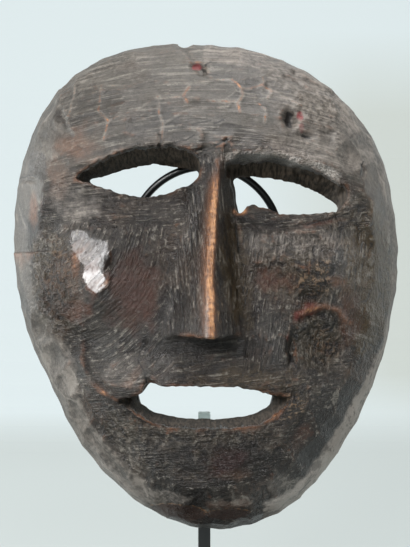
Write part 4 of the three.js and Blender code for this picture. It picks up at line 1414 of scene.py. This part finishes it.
# The weld: a ripple of overlapping steel beads over and under the foot of the hoop, where it meets
# the post, under the same black paint.
BEAD_RADIUS = 1.1
BEAD_SPACING = 0.8
SEAM_Y = 20.2
SEAM_REACH = 3.2
SEAM_RISE = 1.5
SEAM_STEPS = 9
bead_tree, add, entry = size_tree(
    "weld_ripple", bead_radius=("NodeSocketFloat", BEAD_RADIUS * MM),
    bead_spacing=("NodeSocketFloat", BEAD_SPACING * MM), seed=("NodeSocketInt", 5),
)
bead = add("GeometryNodeMeshIcoSphere", {"Radius": entry["bead_radius"], "Subdivisions": 2})["Mesh"]
uneven = add(
    "FunctionNodeRandomValue",
    {"Min": (0.8, 0.75, 0.85), "Max": (1.15, 1.1, 1.2), "Seed": entry["seed"]},
    data_type="FLOAT_VECTOR",
)["Value"]
seam_places = add(
    "GeometryNodeCurveToPoints", {"Curve": entry["Geometry"], "Length": entry["bead_spacing"]}, mode="LENGTH"
)["Points"]
beads = add("GeometryNodeInstanceOnPoints", {"Points": seam_places, "Instance": bead, "Scale": uneven})
finish_tree(add, beads["Instances"], paint)
for name, rise in (("weld_over", SEAM_RISE), ("weld_under", -SEAM_RISE)):
    seam = [
        (HOOP_X + side, SEAM_Y, HOOP_BOTTOM[0] + rise + side * side / (2 * HOOP_RADIUS))
        for side in np.linspace(-SEAM_REACH, SEAM_REACH, SEAM_STEPS)
    ]
    weld = made_by(bead_tree, loop_curve(name + "_line", seam, False), name)
    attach(weld, "root")

# The post: quarter-inch square steel bar, its edges eased with a file, welded upright on the foot.
# It is painted satin black up to a short clear sleeve over its bare top, which shows pale grey-green
# through the mouth.
POST_SIDE = 6.35
POST_Y = 24.0
POST_LOW = 8.3
POST_TOP = 125.5
POST_EASE = 0.6
SLEEVE_HEIGHT = 7.0


def eased_block(name, low, high, ease, steps=3):
    """A block between two corners in mm with its edges rounded over."""
    shape = bmesh.new()
    bmesh.ops.create_cube(shape, size=1.0)
    for vertex in shape.verts:
        vertex.co = [(l if c < 0 else h) * MM for c, l, h in zip(vertex.co, low, high)]
    bmesh.ops.bevel(
        shape, geom=shape.edges[:], offset=ease * MM, segments=steps, affect="EDGES", profile=0.5
    )
    bmesh.ops.recalc_face_normals(shape, faces=shape.faces[:])
    mesh = bpy.data.meshes.new(name)
    shape.to_mesh(mesh)
    shape.free()
    return placed(name, mesh)


half = POST_SIDE / 2
post = eased_block("post_bar", (-half, POST_Y - half, POST_LOW), (half, POST_Y + half, POST_TOP), POST_EASE)
bar_paint = new_material("rubbed_bar_paint")
add, mix, maths, times, plus, noise, between, stretched, bumped, finish = node_kit(bar_paint.node_tree)
CLEAR_SLEEVE = (0.62, 0.70, 0.68)
here = add("ShaderNodeTexCoord")["Object"]
height = add("ShaderNodeSeparateXYZ", {0: here})[2]
sleeve_line = plus(height, times(noise(here, 500.0), 0.0015))
sleeve_low = POST_TOP - SLEEVE_HEIGHT
sleeved = between(sleeve_line, sleeve_low * MM, (sleeve_low + 1.2) * MM)
draw_lines = noise(stretched(here, (900.0, 900.0, 30.0)), 1.0, 3.0)
rubbed = times(between(noise(here, 300.0, 4.0, 0.7), 0.68, 0.75), 0.3)
bar_colour = mix(sleeved, mix(rubbed, PAINT_BLACK, RUBBED_STEEL), CLEAR_SLEEVE)
bar_rough = plus(between(draw_lines, 0.3, 0.7, 0.30, 0.42), times(sleeved, 0.25))
bar_shader = finish(bar_colour, bar_rough, bumped(draw_lines, 0.3, 0.0002))
bar_paint.node_tree.links.new(times(sleeved, 0.8), bar_shader.inputs["Transmission Weight"])
post.data.materials.append(bar_paint)
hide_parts("stand_post")
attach(post, "root")

# The foot: a square steel plate, 8 mm thick, with filed edges under the same satin black paint.
# The post is welded upright on it, behind its middle.
FOOT_HALF = 60.0
FOOT_THICK = 8.0
FOOT_EASE = 1.0
foot = eased_block("foot_plate", (-FOOT_HALF, -FOOT_HALF, 0), (FOOT_HALF, FOOT_HALF, FOOT_THICK), FOOT_EASE)
foot.data.materials.append(paint)
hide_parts("stand_foot")
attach(foot, "root")

# The stage: a pale sweep that rises behind the stand, under soft light from above and the sides.
# The camera stands where the photographer's did, level with the nose. The room's places are in metres.
EYE = (0.37, -445.0, 197.8)
FOCAL_PIXELS = 900.0
PICTURE = (410, 547)
SENSOR_HEIGHT = 24.0
camera_data = bpy.data.cameras.new("camera")
camera = placed("camera", camera_data)
camera.location = [value * MM for value in EYE]
camera.rotation_euler = (math.pi / 2, 0, 0)
camera_data.sensor_fit = "VERTICAL"
camera_data.sensor_height = SENSOR_HEIGHT
camera_data.lens = SENSOR_HEIGHT * FOCAL_PIXELS / PICTURE[1]
camera_data.clip_start = 0.01
bpy.context.scene.camera = camera

SWEEP_FRONT = -1.4
SWEEP_BEND = 0.55
BEND_RADIUS = 0.5
SWEEP_TOP = 2.4
SWEEP_HALF = 2.2
profile = [(SWEEP_FRONT, 0.0), (SWEEP_BEND, 0.0)]
profile += [
    (SWEEP_BEND + BEND_RADIUS * math.sin(a), BEND_RADIUS - BEND_RADIUS * math.cos(a))
    for a in np.linspace(0.1, math.pi / 2, 14)
]
profile += [(SWEEP_BEND + BEND_RADIUS, SWEEP_TOP)]
sweep_mesh = bpy.data.meshes.new("sweep")
sweep_points = [(side, y, z) for y, z in profile for side in (-SWEEP_HALF, SWEEP_HALF)]
sweep_faces = [(2 * k, 2 * k + 1, 2 * k + 3, 2 * k + 2) for k in range(len(profile) - 1)]
sweep_mesh.from_pydata(sweep_points, [], sweep_faces)
sweep = placed("sweep", sweep_mesh)
PAPER = (0.12, 0.135, 0.135)
paper = new_material("pale_paper")
paper_shader = paper.node_tree.nodes["Principled BSDF"]
paper_shader.inputs["Base Color"].default_value = (*PAPER, 1)
paper_shader.inputs["Roughness"].default_value = 0.9
add, mix, maths, times, plus, noise, between, stretched, bumped, finish = node_kit(paper.node_tree)
paper_place = add("ShaderNodeSeparateXYZ", {0: add("ShaderNodeTexCoord")["Object"]})
FLOOR_TONE = (0.385, 0.415, 0.40)
WALL_TONE = (0.555, 0.62, 0.635)
SHADED_TONE = (0.45, 0.48, 0.445)
paper_tone = mix(between(paper_place[2], -0.006, 0.022), FLOOR_TONE, WALL_TONE)
# A painted shadow: the sweep is darker to the right of the stand, where the mask's shadow falls.
to_the_right = times(between(paper_place[0], 0.06, 0.26), between(paper_place[2], 0.60, 0.46))
in_shade = times(to_the_right, between(paper_place[2], 0.0, 0.06))
paper_tone = mix(in_shade, paper_tone, SHADED_TONE)
paper.node_tree.links.new(paper_tone, paper_shader.inputs["Emission Color"])
paper_shader.inputs["Emission Strength"].default_value = 1.0
sweep_mesh.materials.append(paper)

world = bpy.data.worlds.new("room")
world.use_nodes = True
add, mix = node_kit(world.node_tree)[:2]
ROOM_LIGHT = (0.055, 0.058, 0.058)
ROOM_SEEN = (0.745, 0.83, 0.85)
room_tone = mix(add("ShaderNodeLightPath")["Is Camera Ray"], ROOM_LIGHT, ROOM_SEEN)
world.node_tree.links.new(room_tone, world.node_tree.nodes["Background"].inputs["Color"])
bpy.context.scene.world = world
bpy.context.scene.view_settings.view_transform = "Standard"
AIM = Vector((0, 0, 0.2))
# Each light: name, place, width, height, power, colour.
LIGHTS = (
    ("overhead", (0.1, -0.15, 1.2), 0.7, 0.4, 12.5, (1.0, 0.99, 0.97)),
    ("ceiling_front", (0.3, -0.95, 1.15), 0.5, 0.25, 6.5, (1.0, 1.0, 1.0)),
    ("left_side", (-1.08, 0.2, 0.3), 0.6, 0.9, 12, (0.98, 1.0, 0.98)),
    ("right_side", (1.1, 0.32, 0.25), 0.6, 0.9, 5, (0.98, 1.0, 0.98)),
    ("back_room", (0.35, 1.2, 0.95), 0.7, 0.5, 7, (1.0, 0.98, 0.95)),
    ("window", (-0.585, -0.967, 0.64), 0.34, 0.42, 20, (1.0, 1.0, 1.0)),
)
for name, place, width, height, power, colour in LIGHTS:
    data = bpy.data.lights.new(name, "AREA")
    data.shape = "RECTANGLE"
    data.size = width
    data.size_y = height
    data.energy = power
    data.color = colour
    light = placed(name, data)
    light.location = place
    light.rotation_euler = (AIM - Vector(place)).to_track_quat("-Z", "Y").to_euler()
